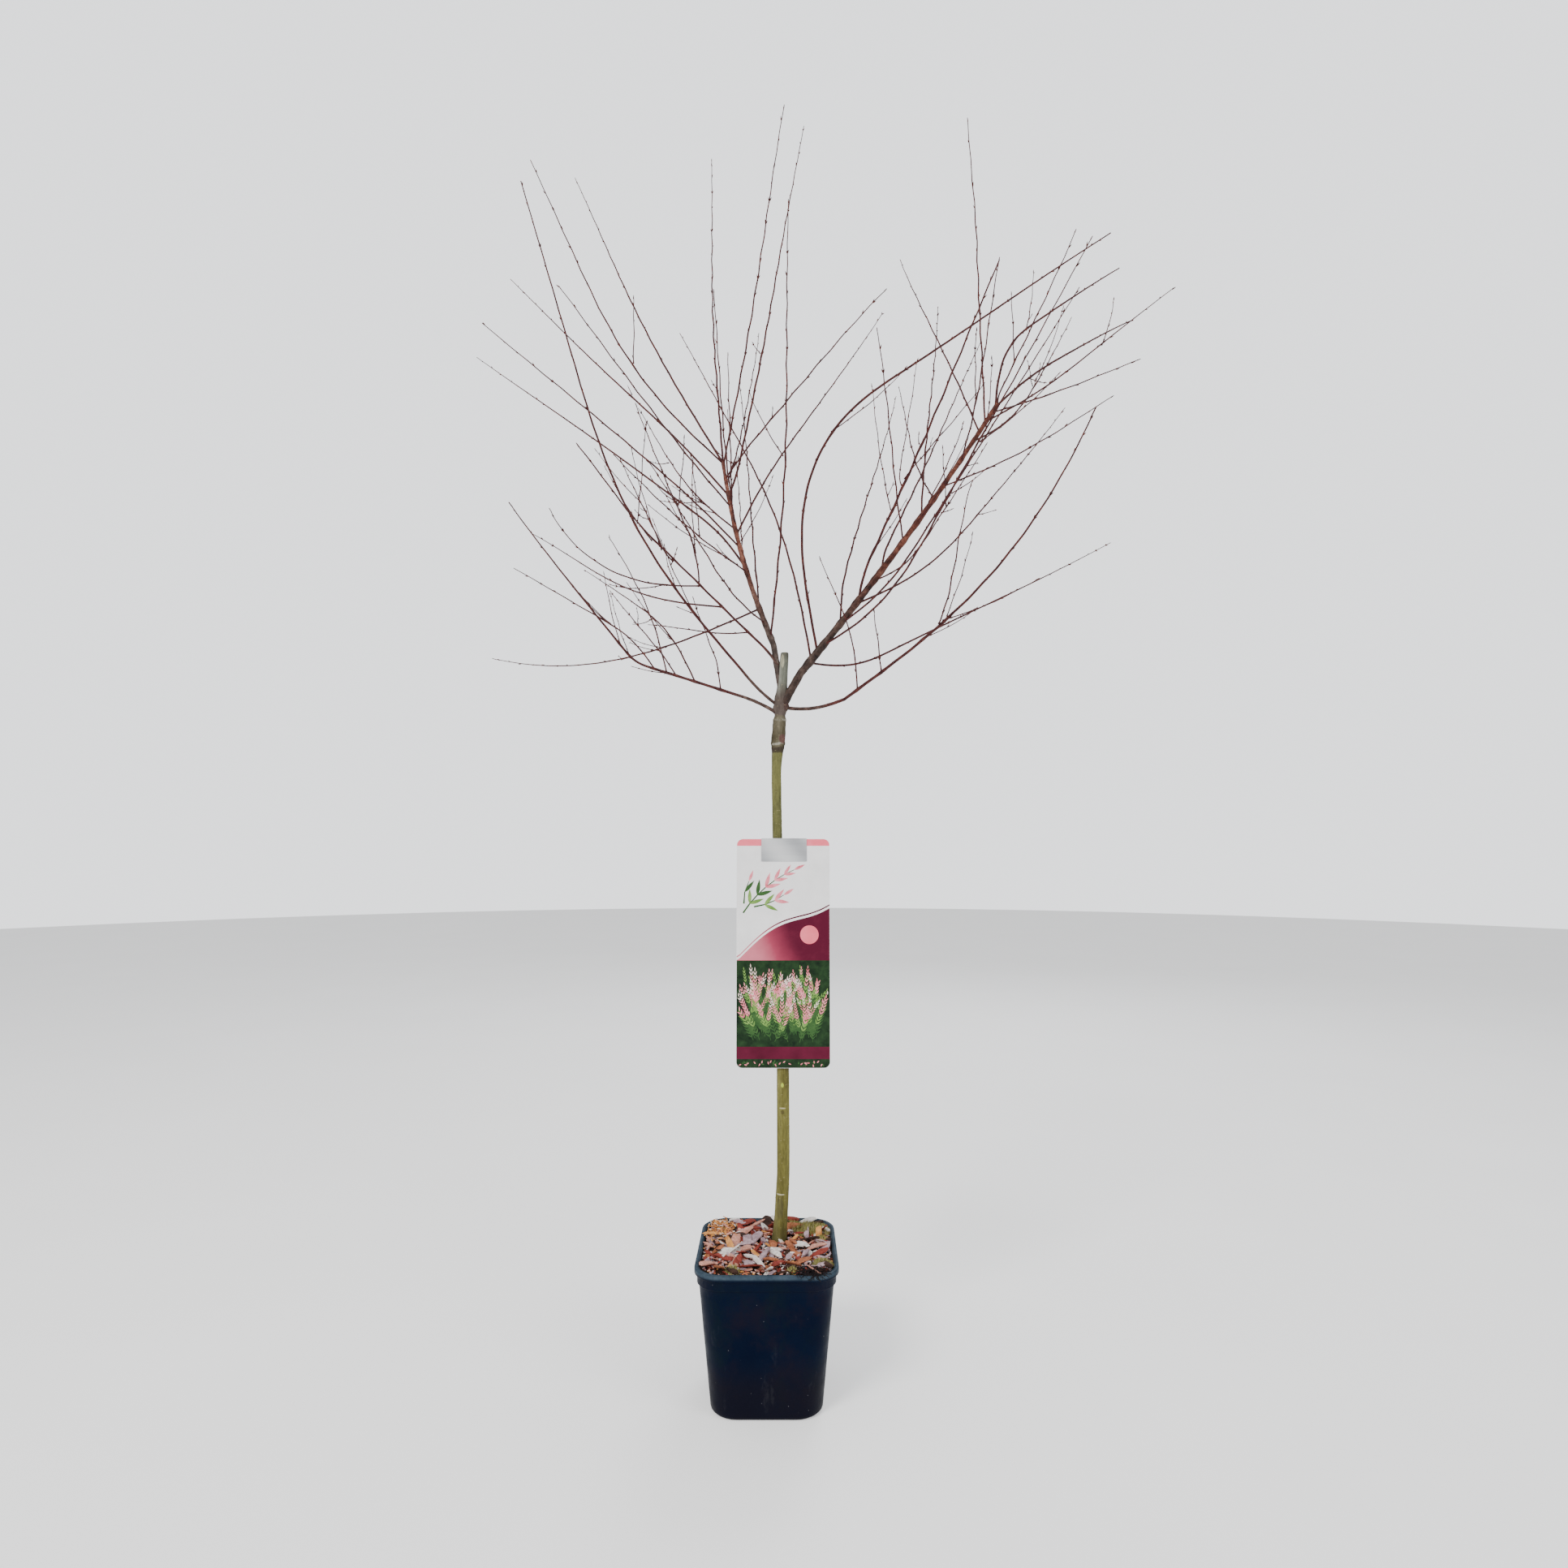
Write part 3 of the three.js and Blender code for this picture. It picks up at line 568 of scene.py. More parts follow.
def pot_plastic():
    s = Shader("pot_plastic", specular=0.035)
    base = s.ramp(s.noise(14, 5, 0.6), (0.3, (0.0001, 0.0022, 0.0125)), (0.7, (0.0006, 0.0044, 0.017)))
    base = s.mix(s.mask(s.noise(16, 6, 0.7), 0.48, 0.66, 0, 0.8), base, (0.0062, 0.005, 0.0125))
    streaks = s.noise(21, 6, 0.7, stretch=(1, 1, 0.5))
    base = s.mix(s.mask(streaks, 0.54, 0.72, 0, 0.8), base, (0.0022, 0.0078, 0.0125))
    base = s.tint(base, s.band(s.axis(2), 0.08, 0.03), 0.6, (0.0062, 0.0048, 0.008))
    # Painted highlight: the lip's upper band is painted a lighter, mottled blue grey where the rim catches
    # the light.
    rim_highlight_paint = s.ramp(s.noise(40, 5, 0.7), (0.3, (0.012, 0.024, 0.04)), (0.7, (0.06, 0.088, 0.115)))
    base = s.mix(s.band(s.axis(2), (RIM_BOTTOM + 1.0) * MM, (RIM_BOTTOM + 4.5) * MM), base, rim_highlight_paint)
    some = s.mask(s.noise(33, 2, 0.5), 0.46, 0.52)
    specks = s.mix(1.0, s.mask(s.cells(95), 0.035, 0.06, 1, 0), some, "MULTIPLY")
    marks = s.mask(s.noise(48, 6, 0.75, stretch=(1, 1, 0.3)), 0.6, 0.78, 0, 0.16)
    base = s.tint(base, s.mix(1.0, specks, marks, "ADD"), 0.5, (0.2, 0.2, 0.21))
    rough = s.mask(s.noise(60, 5, 0.65), 0.3, 0.7, 0.3, 0.5)
    return s.done(base, s.noise(500, 3, 0.6), 0.2, 0.2, Roughness=rough)


# Marks on the stem, one of them a painted highlight: middle, reach, strength and colour
STEM_MARKS = [
    ((25, 21, 857), (5, 9, 7), 0.7, (0.062, 0.03, 0.026)),
    # Painted highlight: pale patch on the left front of the stub
    ((18.5, 20, 917), (2.6, 4, 9), 0.6, (0.46, 0.44, 0.3)),
    ((19, 17, 813), (5, 7, 6), 0.8, (0.115, 0.052, 0.048)),
    ((18.5, 17, 365), (1.8, 5, 2.8), 1.0, (0.42, 0.5, 0.06)),
    ((18.8, 17, 331), (2.4, 5, 2.6), 0.55, (0.06, 0.044, 0.018)),
    ((18.8, 17, 336), (4.2, 5, 0.9), 1.0, (0.42, 0.39, 0.22)),
    ((15.6, 18, 212), (4.2, 6, 15), 0.5, (0.094, 0.085, 0.044)),
    ((16.0, 18, 228), (5.4, 6, 1.0), 1.0, (0.46, 0.44, 0.27)),
]


def stem_bark():
    """Olive young bark, the graft's darker barrel between two pale rings, old bark above, the grey stub."""
    s = Shader("stem_bark", rough=0.75)
    height = s.plus(s.axis(2), s.times(s.math("SUBTRACT", s.noise(45, 3, 0.6), 0.5), 0.01))
    streaks = s.noise(75, 6, 0.62, stretch=(1, 1, 0.06))
    patches = s.noise(30, 5, 0.6, stretch=(1, 1, 0.35))
    young = s.ramp(streaks, (0.26, (0.095, 0.086, 0.022)), (0.46, (0.172, 0.16, 0.044)),
                   (0.62, (0.24, 0.23, 0.074)), (0.8, (0.36, 0.34, 0.16)))
    shade = s.ramp(patches, (0.35, (0.62, 0.6, 0.62)), (0.62, (1.06, 1.04, 0.98)))
    bark = s.mix(1.0, young, shade, "MULTIPLY")
    bark = s.tint(bark, s.band(height, 0.43, 0.56), 0.42, (0.085, 0.098, 0.05))
    barrel = s.ramp(patches, (0.32, (0.032, 0.024, 0.016)), (0.5, (0.072, 0.06, 0.034)),
                    (0.68, (0.15, 0.132, 0.09)))
    old = s.ramp(patches, (0.3, (0.035, 0.024, 0.02)), (0.7, (0.105, 0.08, 0.068)))
    stub = s.ramp(streaks, (0.3, (0.085, 0.092, 0.068)), (0.5, (0.175, 0.18, 0.145)),
                  (0.72, (0.38, 0.39, 0.34)))
    for low, high, tone in ((0.794, 0.8, barrel), (0.84, 0.846, old), (0.864, 0.897, stub)):
        bark = s.mix(s.band(height, low, high), bark, tone)
    bark = s.tint(bark, s.band(height, 0.918, 0.927), 0.65, (0.06, 0.058, 0.045))
    broken = s.mask(s.noise(110, 4, 0.7), 0.4, 0.6, 0, 0.6)
    for low, high in ((0.804, 0.808), (0.836, 0.84)):
        ring = s.times(s.band(height, low, low + 0.0015), s.band(height, high, high - 0.0015))
        bark = s.tint(bark, ring, broken, (0.42, 0.4, 0.33))
    seat = s.times(s.band(height, 0.793, 0.796), s.band(height, 0.8035, 0.8005))
    bark = s.tint(bark, seat, 0.8, (0.035, 0.024, 0.018))
    for middle, reach, strength, tone in STEM_MARKS:
        bark = s.tint(bark, s.spot(middle, reach), strength, tone)
    bark = s.tint(bark, s.band(s.axis(2), 0.196, 0.174), 0.4, (0.05, 0.04, 0.02))
    pores = s.mask(s.cells(230, stretch=(0.5, 0.5, 1.7)), 0.09, 0.16, 1, 0)
    bark = s.tint(bark, pores, 0.5, (0.4, 0.34, 0.18))
    grain = s.mask(s.noise(420, 5, 0.7, stretch=(1, 1, 0.25)), 0.3, 0.62, 0.62, 1.08)
    return s.done(s.mix(1.0, bark, grain, "MULTIPLY"), s.noise(300, 6, 0.7, stretch=(1, 1, 0.2)), 0.5, 0.5)


def leader_bark(name, lift):
    """Dark and grey near the fork, then red brown higher up."""
    s = Shader(name, rough=0.5)
    spots = s.noise(120, 5, 0.62)
    red = s.ramp(spots, (0.3, (0.018, 0.006, 0.005)), (0.5, (0.082, 0.022, 0.014)),
                 (0.72, (0.2, 0.075, 0.048)))
    dark = s.ramp(spots, (0.3, (0.014, 0.009, 0.008)), (0.52, (0.046, 0.028, 0.022)),
                  (0.76, (0.11, 0.074, 0.06)))
    bark = s.mix(s.band(s.axis(2), 0.93, 1.08), dark, red)
    bark = s.mix(1.0, bark, (1 + lift * 0.8, 1 + lift * 1.3, 1 + lift * 1.5), "MULTIPLY")
    return s.done(bark, s.noise(420, 5, 0.7), 0.45, 0.3)


def twig_bark(name, dark, mid, light):
    s = Shader(name, rough=0.48, specular=0.1)
    spots = s.noise(150, 5, 0.6)
    young = s.ramp(spots, (0.3, dark), (0.52, mid), (0.75, light))
    old = s.ramp(spots, (0.28, (0.022, 0.012, 0.01)), (0.52, (0.068, 0.038, 0.031)),
                 (0.78, (0.15, 0.1, 0.082)))
    return s.done(s.mix(s.spot(FORK, (60, 60, 60)), young, old), s.noise(900, 3, 0.6), 0.3, 0.15)


def plain(name, dark, light, scale, rough, bump, depth):
    s = Shader(name, rough=rough)
    tone = s.ramp(s.noise(scale, 6, 0.65), (0.3, dark), (0.7, light))
    return s.done(tone, s.noise(scale * 3, 5, 0.65), bump, depth)


def chip_bark(name, dark, light):
    """Split wood: cloudy tone, and fine fibres whose darker streaks are painted shade for hollows."""
    s = Shader(name, rough=0.8, specular=0.1)
    tone = s.ramp(s.noise(70, 8, 0.72, distortion=0.6), (0.32, dark), (0.64, light))
    # Fibre grain and painted shade: the streaks darken the tone to half in places, standing for shadowed
    # hollows, and lighten it a little elsewhere.
    fibre = s.ramp(s.noise(420, 6, 0.75, distortion=1.2), (0.3, (0.5, 0.46, 0.44)), (0.55, (1, 1, 1)),
                   (0.75, (1.16, 1.16, 1.16)))
    return s.done(s.mix(1.0, tone, fibre, "MULTIPLY"), s.noise(300, 8, 0.75, distortion=0.8), 0.9, 0.7)


# Outlines and pot

def rounded_outline(left, right, bottom, top, radius, steps=7, between=()):
    """Rounded oblong, anticlockwise; between holds shares at which its straight edges get points."""
    (x0, y0), (x1, y1) = (left + radius, bottom + radius), (right - radius, top - radius)
    quarter = 90 * np.arange(steps) / (steps - 1)
    arcs = [np.array(middle) + radius * circle(np.radians(start + quarter))
            for start, middle in ((-90, (x1, y0)), (0, (x1, y1)), (90, (x0, y1)), (180, (x0, y0)))]
    points = []
    for arc, following in zip(arcs, arcs[1:] + arcs[:1]):
        points += [*arc, *(lerp(arc[-1], following[0], k) for k in between)]
    return np.array(points)


def rounded_square(corner_points, ratio=POT_CORNER_RATIO):
    return rounded_outline(-1, 1, -1, 1, ratio, corner_points, (0.25, 0.5, 0.75))


def pot_half(z):
    return POT_FOOT_HALF + POT_FLARE * z


def pot_rings(profile, corner_points):
    """Rounded squares stacked by height and half width, rounder at the foot, and the points in each."""
    rings = []
    for z, half in profile:
        ratio = lerp(FOOT_CORNER_RATIO, POT_CORNER_RATIO, smooth(z / COLLAR_BOTTOM))
        rings.append([(x * half, y * half, z) for x, y in rounded_square(corner_points, ratio)])
    return np.vstack(rings), len(rings[0])


def pot_profile():
    """Height and half width, from the underside up outside, over the lip and down to the floor inside."""
    foot, inner = pot_half(0), pot_half(POT_HEIGHT) - POT_WALL
    # Turns of the collar and the lip: a height, a half width, and the steps from them
    turns = [
        (COLLAR_BOTTOM, pot_half(COLLAR_BOTTOM), [(-0.3, 0.4)]),
        (COLLAR_BOTTOM, COLLAR_HALF, [(0.2, -0.5), (0.9, 0)]),
        (RIM_BOTTOM, COLLAR_HALF, [(-0.9, 0), (-0.5, 0.5)]),
        (RIM_BOTTOM, RIM_HALF, [(-0.3, -1.2), (0.2, -0.35), (1, 0)]),
        (POT_HEIGHT, RIM_HALF, [(-1.8, 0), (-0.7, -0.35), (-0.1, -1.1), (0, -2.2), (-0.15, -4.5)]),
        (POT_HEIGHT, inner, [(-0.1, 1.4), (-0.6, 0.4)]),
    ]
    return [
        (0.0, foot - 4.4), (0.4, foot - 2.9), (1.6, foot - 1.3), (3.2, pot_half(3) - 0.35),
        *((z, pot_half(z)) for z in (5.5, *np.linspace(12, COLLAR_BOTTOM - 1.2, 16))),
        *((z + up, half + out) for z, half, steps in turns for up, out in steps),
        *((z, pot_half(z) - POT_WALL) for z in (POT_HEIGHT - 1.8, 168, 165, 163)),
    ]


def make_pot():
    mesh = Mesh()
    mesh.loft(*pot_rings(pot_profile(), 9), top=False)
    pot = mesh.piece("nursery_pot", [pot_plastic()])
    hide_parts("pot")


def make_soil():
    """Block of potting mix that fills the pot up to the mulch, with the pot's own rounding."""
    heights = (POT_WALL + 0.4, 12, 40, 80, 120, 150, 160, 163)
    block = Mesh()
    block.loft(*pot_rings([(z, pot_half(z) - POT_WALL - 0.4) for z in heights], 7))
    peat = plain("potting_peat", (0.01, 0.006, 0.005), (0.055, 0.033, 0.022), 260, 0.95, 1.0, 0.9)
    soil = block.piece("potting_soil", [peat])
    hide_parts("potting_mix")


# Mulch

# Dark and light tone of each kind of chip, and its share
CHIP_TONES = [
    ("chip_red", (0.095, 0.014, 0.01), (0.37, 0.07, 0.052), 0.18),
    ("chip_rust", (0.2, 0.06, 0.026), (0.54, 0.2, 0.1), 0.09),
    ("chip_mauve", (0.2, 0.13, 0.15), (0.58, 0.43, 0.47), 0.25),
    ("chip_salmon", (0.36, 0.14, 0.1), (0.76, 0.4, 0.31), 0.19),
    ("chip_orange", (0.5, 0.17, 0.04), (0.88, 0.44, 0.14), 0.05),
    ("chip_pale", (0.56, 0.49, 0.45), (0.94, 0.9, 0.86), 0.15),
    ("chip_dark", (0.012, 0.007, 0.006), (0.07, 0.034, 0.024), 0.09),
]
# Small chips: count, length, distance from the stem, height, share of the length across, thickness, tilt
CHIPS_DEEP = (560, (6, 20), 11, (-2.4, 1.2), (0.22, 0.5), (1.2, 2.8), 0.34)
CRUMBS = (1100, (1.4, 5.5), 9.5, (-1.2, 1.2), (0.35, 0.8), (0.7, 1.6), 0.2)
CHIPS_TOP = 92
CHIPS_APART = 12
MULCH_REACH = 80.5
# Loose litter that lies thicker in places: middle, spread, count, which of the tones, extra height
LITTER = [
    ((-62, 50), (9, 18), 330, (4, 1, 5, 4, 4), 2.2),
    ((54, -72), (13, 6), 260, (6, 6, 6, 0), 0.0),
    ((-38, 70), (20, 5), 110, (0, 0, 1), 0.0),
]
# Moss cushions: place and radius
MOSS = [(54, 54, 24), (66, -50, 13), (-40, -67, 10), (32, 66, 11), (-58, 44, 6), (30, -70, 8), (68, 20, 8)]
# Dark fibres that hang over the front edge of the pot
FIBRES = 190
FIBRES_X = (30, 76)
FIBRE_STEP = 1.6


def add_chip(mesh, rng, at, size, thickness, slot, tilt):
    """Broken flake: blunt or splintered ends, one end wider, bowed and tilted a little."""
    n = int(rng.integers(8, 12))
    spread = np.arange(n) + rng.uniform(-0.28, 0.28, n)
    corner = circle(np.sort(spread * FULL_TURN / n) + rng.uniform(0, 0.6))
    blunt = rng.choice([1.5, 3.0, 5.0], p=[0.2, 0.4, 0.4])
    reach = (np.abs(corner) ** blunt).sum(axis=1) ** (-1 / blunt) * rng.uniform(0.82, 1.0, n)
    half_length, half_width, half = size[0] / 2, size[1] / 2, thickness / 2
    flat = corner * (half_length, half_width) * reach[:, None]
    flat[:, 1] *= 1 + rng.uniform(-0.45, 0.45) * flat[:, 0] / half_length
    top = np.column_stack([flat * 0.84, half * rng.uniform(0.5, 1.0, n)])
    rim = np.column_stack([flat, rng.uniform(-0.3, 0.3, n) * half])
    under = np.column_stack([flat * 0.84, -half * rng.uniform(0.5, 1.0, n)])
    verts = np.vstack([top, rim, under, [[0, 0, half], [0, 0, -half]]])
    verts[:, 2] += rng.uniform(-0.05, 0.09) * size[0] * (1 - (verts[:, 0] / half_length) ** 2)
    turned = Euler((rng.normal(0, tilt), rng.normal(0, tilt), rng.uniform(0, FULL_TURN))).to_matrix()
    j = np.arange(n)
    k = (j + 1) % n
    upper = np.stack([n + j, n + k, k, j], axis=1)
    lower = np.stack([2 * n + j, 2 * n + k, n + k, n + j], axis=1)
    mesh.add(verts @ np.array(turned).T + np.array(at), np.vstack([upper, lower]), slot)
    lid = np.stack([j, k, np.full(n, 3 * n)], axis=1)
    base = np.stack([2 * n + k, 2 * n + j, np.full(n, 3 * n + 1)], axis=1)
    mesh.more(np.vstack([lid, base]), len(verts), slot)


def inside_pot(x, y, reach):
    corner = reach * POT_CORNER_RATIO
    return math.hypot(*(max(abs(v) - (reach - corner), 0) for v in (x, y))) < corner


def on_moss(x, y):
    """The largest cushion stays in view: no large chip lies on it."""
    mx, my, radius = MOSS[0]
    return math.hypot(x - mx, y - my) < 0.75 * radius


def on_mulch(rng, reach, size, keep_off):
    """Random place on the mulch, clear of the stem."""
    while True:
        x, y = rng.uniform(-reach, reach, 2)
        clear = math.hypot(x - STEM_LEAN[0][1], y - STEM_Y) > keep_off + size * 0.3
        if clear and inside_pot(x, y, reach - size * 0.32):
            return x, y


def scatter(mesh, rng, tone, chips):
    count, lengths, keep_off, heights, shares, thicknesses, tilt = chips
    for _ in range(count):
        length = rng.uniform(*lengths)
        x, y = on_mulch(rng, MULCH_REACH, length, keep_off)
        at = (x, y, MULCH_TOP + rng.uniform(*heights))
        size = (length, length * rng.uniform(*shares))
        add_chip(mesh, rng, at, size, rng.uniform(*thicknesses), tone(), tilt)


def make_mulch():
    rng = np.random.default_rng(MULCH_SEED)
    tones = [chip_bark(name, dark, light) for name, dark, light, _ in CHIP_TONES]
    shares = np.array([share for *_, share in CHIP_TONES])
    shares = shares / shares.sum()

    def tone():
        return int(rng.choice(len(tones), p=shares))

    deep = Mesh()
    scatter(deep, rng, tone, CHIPS_DEEP)
    litter = deep.piece("bark_chips", tones, smooth_faces=False)
    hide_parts("bark_mulch")

    top = Mesh()
    laid = []
    while len(laid) < CHIPS_TOP:
        length = rng.uniform(17, 37)
        x, y = on_mulch(rng, MULCH_REACH + 3, length, 13)
        if any(math.hypot(x - px, y - py) < CHIPS_APART for px, py in laid[-70:]) or on_moss(x, y):
            continue
        laid.append((x, y))
        size = (length, min(12.5, length * rng.uniform(0.22, 0.46)))
        high = MULCH_TOP + rng.uniform(1.0, 4.4) + (1.6 if y > 62 else 0.0)
        add_chip(top, rng, (x, y, high), size, rng.uniform(1.6, 3.6), tone(), 0.18 if y > 60 else 0.3)
    large = top.piece("bark_chips_large", tones, smooth_faces=False)

    fine = Mesh()
    scatter(fine, rng, tone, CRUMBS)
    for (mx, my), (sx, sy), count, kinds, lift in LITTER:
        for _ in range(count):
            x, y = rng.normal(mx, sx), rng.normal(my, sy)
            if inside_pot(x, y, MULCH_REACH):
                length = rng.uniform(2.5, 9)
                at = (x, y, MULCH_TOP + rng.uniform(1.0, 4.2) + lift)
                kind = int(rng.choice(kinds))
                add_chip(fine, rng, at, (length, rng.uniform(0.8, 2.4)), rng.uniform(0.5, 1.2), kind, 0.4)
    crumbs = fine.piece("bark_crumbs", tones, smooth_faces=False)
    make_peat_bed()
    make_moss(rng)
    make_fibres(rng)


def make_peat_bed():
    outline = rounded_square(7) * (pot_half(MULCH_TOP) - POT_WALL - 0.2)
    shares = np.linspace(0.0, 1.0, 34)[1:]
    verts = []
    for share in shares:
        for x, y in outline * share:
            broad = noise.noise(Vector((x / 9, y / 9, 3.0)))
            fine = noise.noise(Vector((x / 3, y / 3, 8.0)))
            verts.append((x, y, MULCH_TOP - 2.6 + (1.5 * broad + 0.7 * fine) * (1 - share ** 8)))
    bed = Mesh()
    bed.add(verts, ring_faces(len(shares), len(outline))[:, ::-1])
    bed.more([np.arange(len(outline))], len(verts))
    peat = plain("peat", (0.01, 0.006, 0.005), (0.052, 0.03, 0.02), 260, 0.95, 1.0, 0.9)
    soil = bed.piece("peat_bed", [peat])


def make_moss(rng):
    moss = Mesh()
    for x, y, radius in MOSS:
        for _ in range(int(radius * radius * 6)):
            way, share = circle(rng.uniform(0, FULL_TURN)), math.sqrt(rng.uniform())
            uneven = 1 + 0.35 * noise.noise(Vector((*way * 1.5, x)))
            place = (x, y) + radius * share * uneven * way
            if not inside_pot(*place, MULCH_REACH):
                continue
            base = MULCH_TOP + 0.4 + 6.0 * (1 - share ** 2) * rng.uniform(0.5, 1.0)
            tall = rng.uniform(1.2, 2.8)
            lean = rng.normal(0, 0.9, 2)
            width = rng.uniform(0.25, 0.55)
            foot = place + width * circle(rng.uniform(0, math.pi) + np.array([0, 2.09, 4.19]))
            blade = [(*corner, base - 2.0) for corner in foot] + [(*place + lean, base + tall)]
            shade = int(rng.choice(3, p=[0.5, 0.27, 0.23]))
            moss.add(blade, [[0, 1, 3], [1, 2, 3], [2, 0, 3], [2, 1, 0]], shade)
    greens = [
        plain("moss_light", (0.25, 0.24, 0.055), (0.56, 0.52, 0.17), 90, 0.8, 0.2, 0.2),
        plain("moss_deep", (0.045, 0.052, 0.013), (0.17, 0.17, 0.045), 90, 0.85, 0.2, 0.2),
        plain("moss_straw", (0.4, 0.33, 0.16), (0.66, 0.58, 0.36), 90, 0.85, 0.2, 0.2),
    ]
    cushion = moss.piece("moss_cushions", greens, smooth_faces=False)


def make_fibres(rng):
    tangle = Mesh()
    for _ in range(FIBRES):
        x = float(np.clip(rng.normal(sum(FIBRES_X) / 2, 9), *FIBRES_X))
        heading = rng.uniform(-math.pi, math.pi)
        line = [np.array([x, -RIM_HALF + rng.gamma(2.2, 5.5), MULCH_TOP + rng.uniform(1.5, 5.0)])]
        for _ in range(8):
            heading += rng.normal(0, 0.6)
            x, y, z = line[-1] + (*FIBRE_STEP * circle(heading), rng.uniform(-0.9, 0.9))
            z = min(z, POT_HEIGHT + 3.5)
            if -y > RIM_HALF - 0.8:
                y = -RIM_HALF - rng.uniform(0.2, 1.0)
                z = line[-1][2] - rng.uniform(0.2, 1.4)
            else:
                over_lip = -y > pot_half(POT_HEIGHT) - 3
                z = max(z, POT_HEIGHT + 0.4 if over_lip else MULCH_TOP + 1.0)
            line.append(np.array([min(x, FIBRES_X[1]), y, z]))
        along = unit(np.gradient(np.array(line), axis=0))
        sideways = unit(np.cross(along, [0.31, 0.17, 0.93]))
        radii = np.outer(rng.uniform(0.2, 0.6) * np.linspace(1, 0.5, len(line)), np.ones(5))
        add_tube(tangle, np.array(line), sideways, np.cross(along, sideways), radii)
    dark = plain("fibre", (0.003, 0.003, 0.004), (0.022, 0.016, 0.017), 200, 0.9, 0.3, 0.2)
    clump = tangle.piece("peat_fibres", [dark])


# Stem

STEM_GRID = (640, 96)
# Relief of the bark: height, and how fast it changes round the stem and along it
STEM_RELIEF = [(0.34, 0.9, 38), (0.2, 6.5, 26), (0.08, 13, 7)]
GRAFT_RINGS = (838, 806)
# Knots: height on the stem, turn in degrees (270 faces the camera), how far they stand out, size
KNOTS = [
    (331, 268, 0.9, 7), (470, 200, 0.9, 6), (556, 330, 0.8, 6), (618, 80, 0.9, 7),
    (856, 345, 3.4, 6), (854, 185, 2.6, 6), (868, 170, 1.4, 6), (896, 175, 1.0, 7),
]
LENTICELS = 420


def rounded(values, reach):
    kernel = np.hanning(2 * reach + 1)
    kernel /= kernel.sum()
    return np.convolve(np.pad(values, reach, mode="edge"), kernel, mode="valid")


def make_stem():
    rng = np.random.default_rng(STEM_SEED)
    rings, sides = STEM_GRID
    z = np.linspace(MULCH_TOP - 6, STEM_TOP, rings)
    x = rounded(np.interp(z, *zip(*STEM_LEAN)), 9)
    radius = rounded(np.interp(z, *zip(*STEM_RADII)), 2)
    turns = angles(sides)
    grid_z, grid_a = np.meshgrid(z, turns, indexing="ij")
    relief = sum(high * round_noise(turns, z, across, along) for high, across, along in STEM_RELIEF)
    relief += 1.2 * bell(grid_z, 820, 17) * round_noise(turns, z, 1.3, 11)
    for at in GRAFT_RINGS:
        wave = at + 1.6 * np.sin(grid_a * 2 + at)
        relief += 0.45 * bell(grid_z, wave, 1.5) - 0.4 * bell(grid_z, wave - 4, 1.8)

    def swelling(at, turn, high, size, wide):
        swing = (grid_a - turn + math.pi) % FULL_TURN - math.pi
        return high * bell(grid_z, at, size) * bell(swing, 0, wide)

    for at, turn, high, size in KNOTS:
        relief += swelling(at, math.radians(turn), high, size, 0.55)
    for _ in range(LENTICELS):
        at, turn = rng.uniform(178, 790), rng.uniform(0, FULL_TURN)
        wide = rng.uniform(0.1, 0.22)
        relief += swelling(at, turn, rng.uniform(0.15, 0.34), 0.8, wide)
    relief += 1.1 * bell(grid_z, FORK[2], 16) * np.cos(2 * grid_a)
    radii = radius[:, None] * 0.985 + relief
    radii[-1] *= 0.93
    centres = np.column_stack([x, np.full(rings, STEM_Y), z])
    mesh = Mesh()
    add_tube(mesh, centres, *(np.repeat([axis], rings, axis=0) for axis in np.eye(3)[:2]), radii)
    stem = mesh.piece("stem_relief", [stem_bark()])
    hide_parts("stem")


# Boughs and twigs

def make_crown():
    """Each mass starts on the last ring of its bough, which is tilted half way between the two."""
    leaders = {"left": leader_bark("left_leader_bark", 0.45), "right": leader_bark("right_leader_bark", 0.0)}
    young = twig_bark("shoot_bark", (0.026, 0.007, 0.008), (0.062, 0.016, 0.015), (0.125, 0.038, 0.029))
    scales = twig_bark("bud_scales", (0.028, 0.008, 0.008), (0.075, 0.021, 0.016), (0.15, 0.05, 0.032))
    boughs, crown = {}, {}
    for side, (_, _, radii, stem) in MASSES.items():
        course = bough_course(*BOUGHS[side])
        bough = boughs[side] = Limb(course, (BOUGHS[side][6], radii[0]), 1)
        bough.end = course.point(1.0) + course.direction(1.0) * GAP
        crown[side] = mass_limbs(radii, stem, bough.end)
        first = crown[side][0]
        mitre = unit(course.direction(1.0) + first.course.direction(0.0))
        bough.mitres, first.mitres = {-1: mitre, -2: mitre}, {0: mitre, 1: mitre}
    for which, radii, taper in STOUT_WHIPS:
        whip = crown["right"][which]
        whip.radii, whip.taper = radii, taper
    for side, (seed, sprigs, _, _) in MASSES.items():
        foreign = [limb.course for other, grown in crown.items() if other != side for limb in grown]
        foreign += [bough.course for bough in boughs.values()]
        add_sprigs(crown[side], seed, sprigs, foreign)

    rng = np.random.default_rng(CROWN_SEED)
    for side in BOUGHS:
        mesh = Mesh()
        add_limb(mesh, boughs[side], rng, 40, 0.9, 0.0, relief=0.1)
        piece = mesh.piece(side + "_bough_relief", [leaders.get(side, young)])
        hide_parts(side + "_bough")

    for side, grown in crown.items():
        add_spurs(grown, MASSES[side][0] + SPUR_SEED_STEP)
        whips, buds = Mesh(), Mesh()
        for limb in grown:
            if limb.rank == 0 and side in leaders:
                lines = add_limb(whips, limb, rng, 14, 3.0, 0.45, relief=0.12)
            else:
                lines = add_limb(whips, limb, rng, (10, 7, 6, 6)[limb.rank], 4.2, 0.75, slot=1)
            add_buds(buds, limb, lines, rng)
        bare = whips.piece(side + "_whips", [leaders.get(side, young), young])
        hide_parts(side + "_twigs")
        clothed = buds.piece(side + "_buds", [scales])


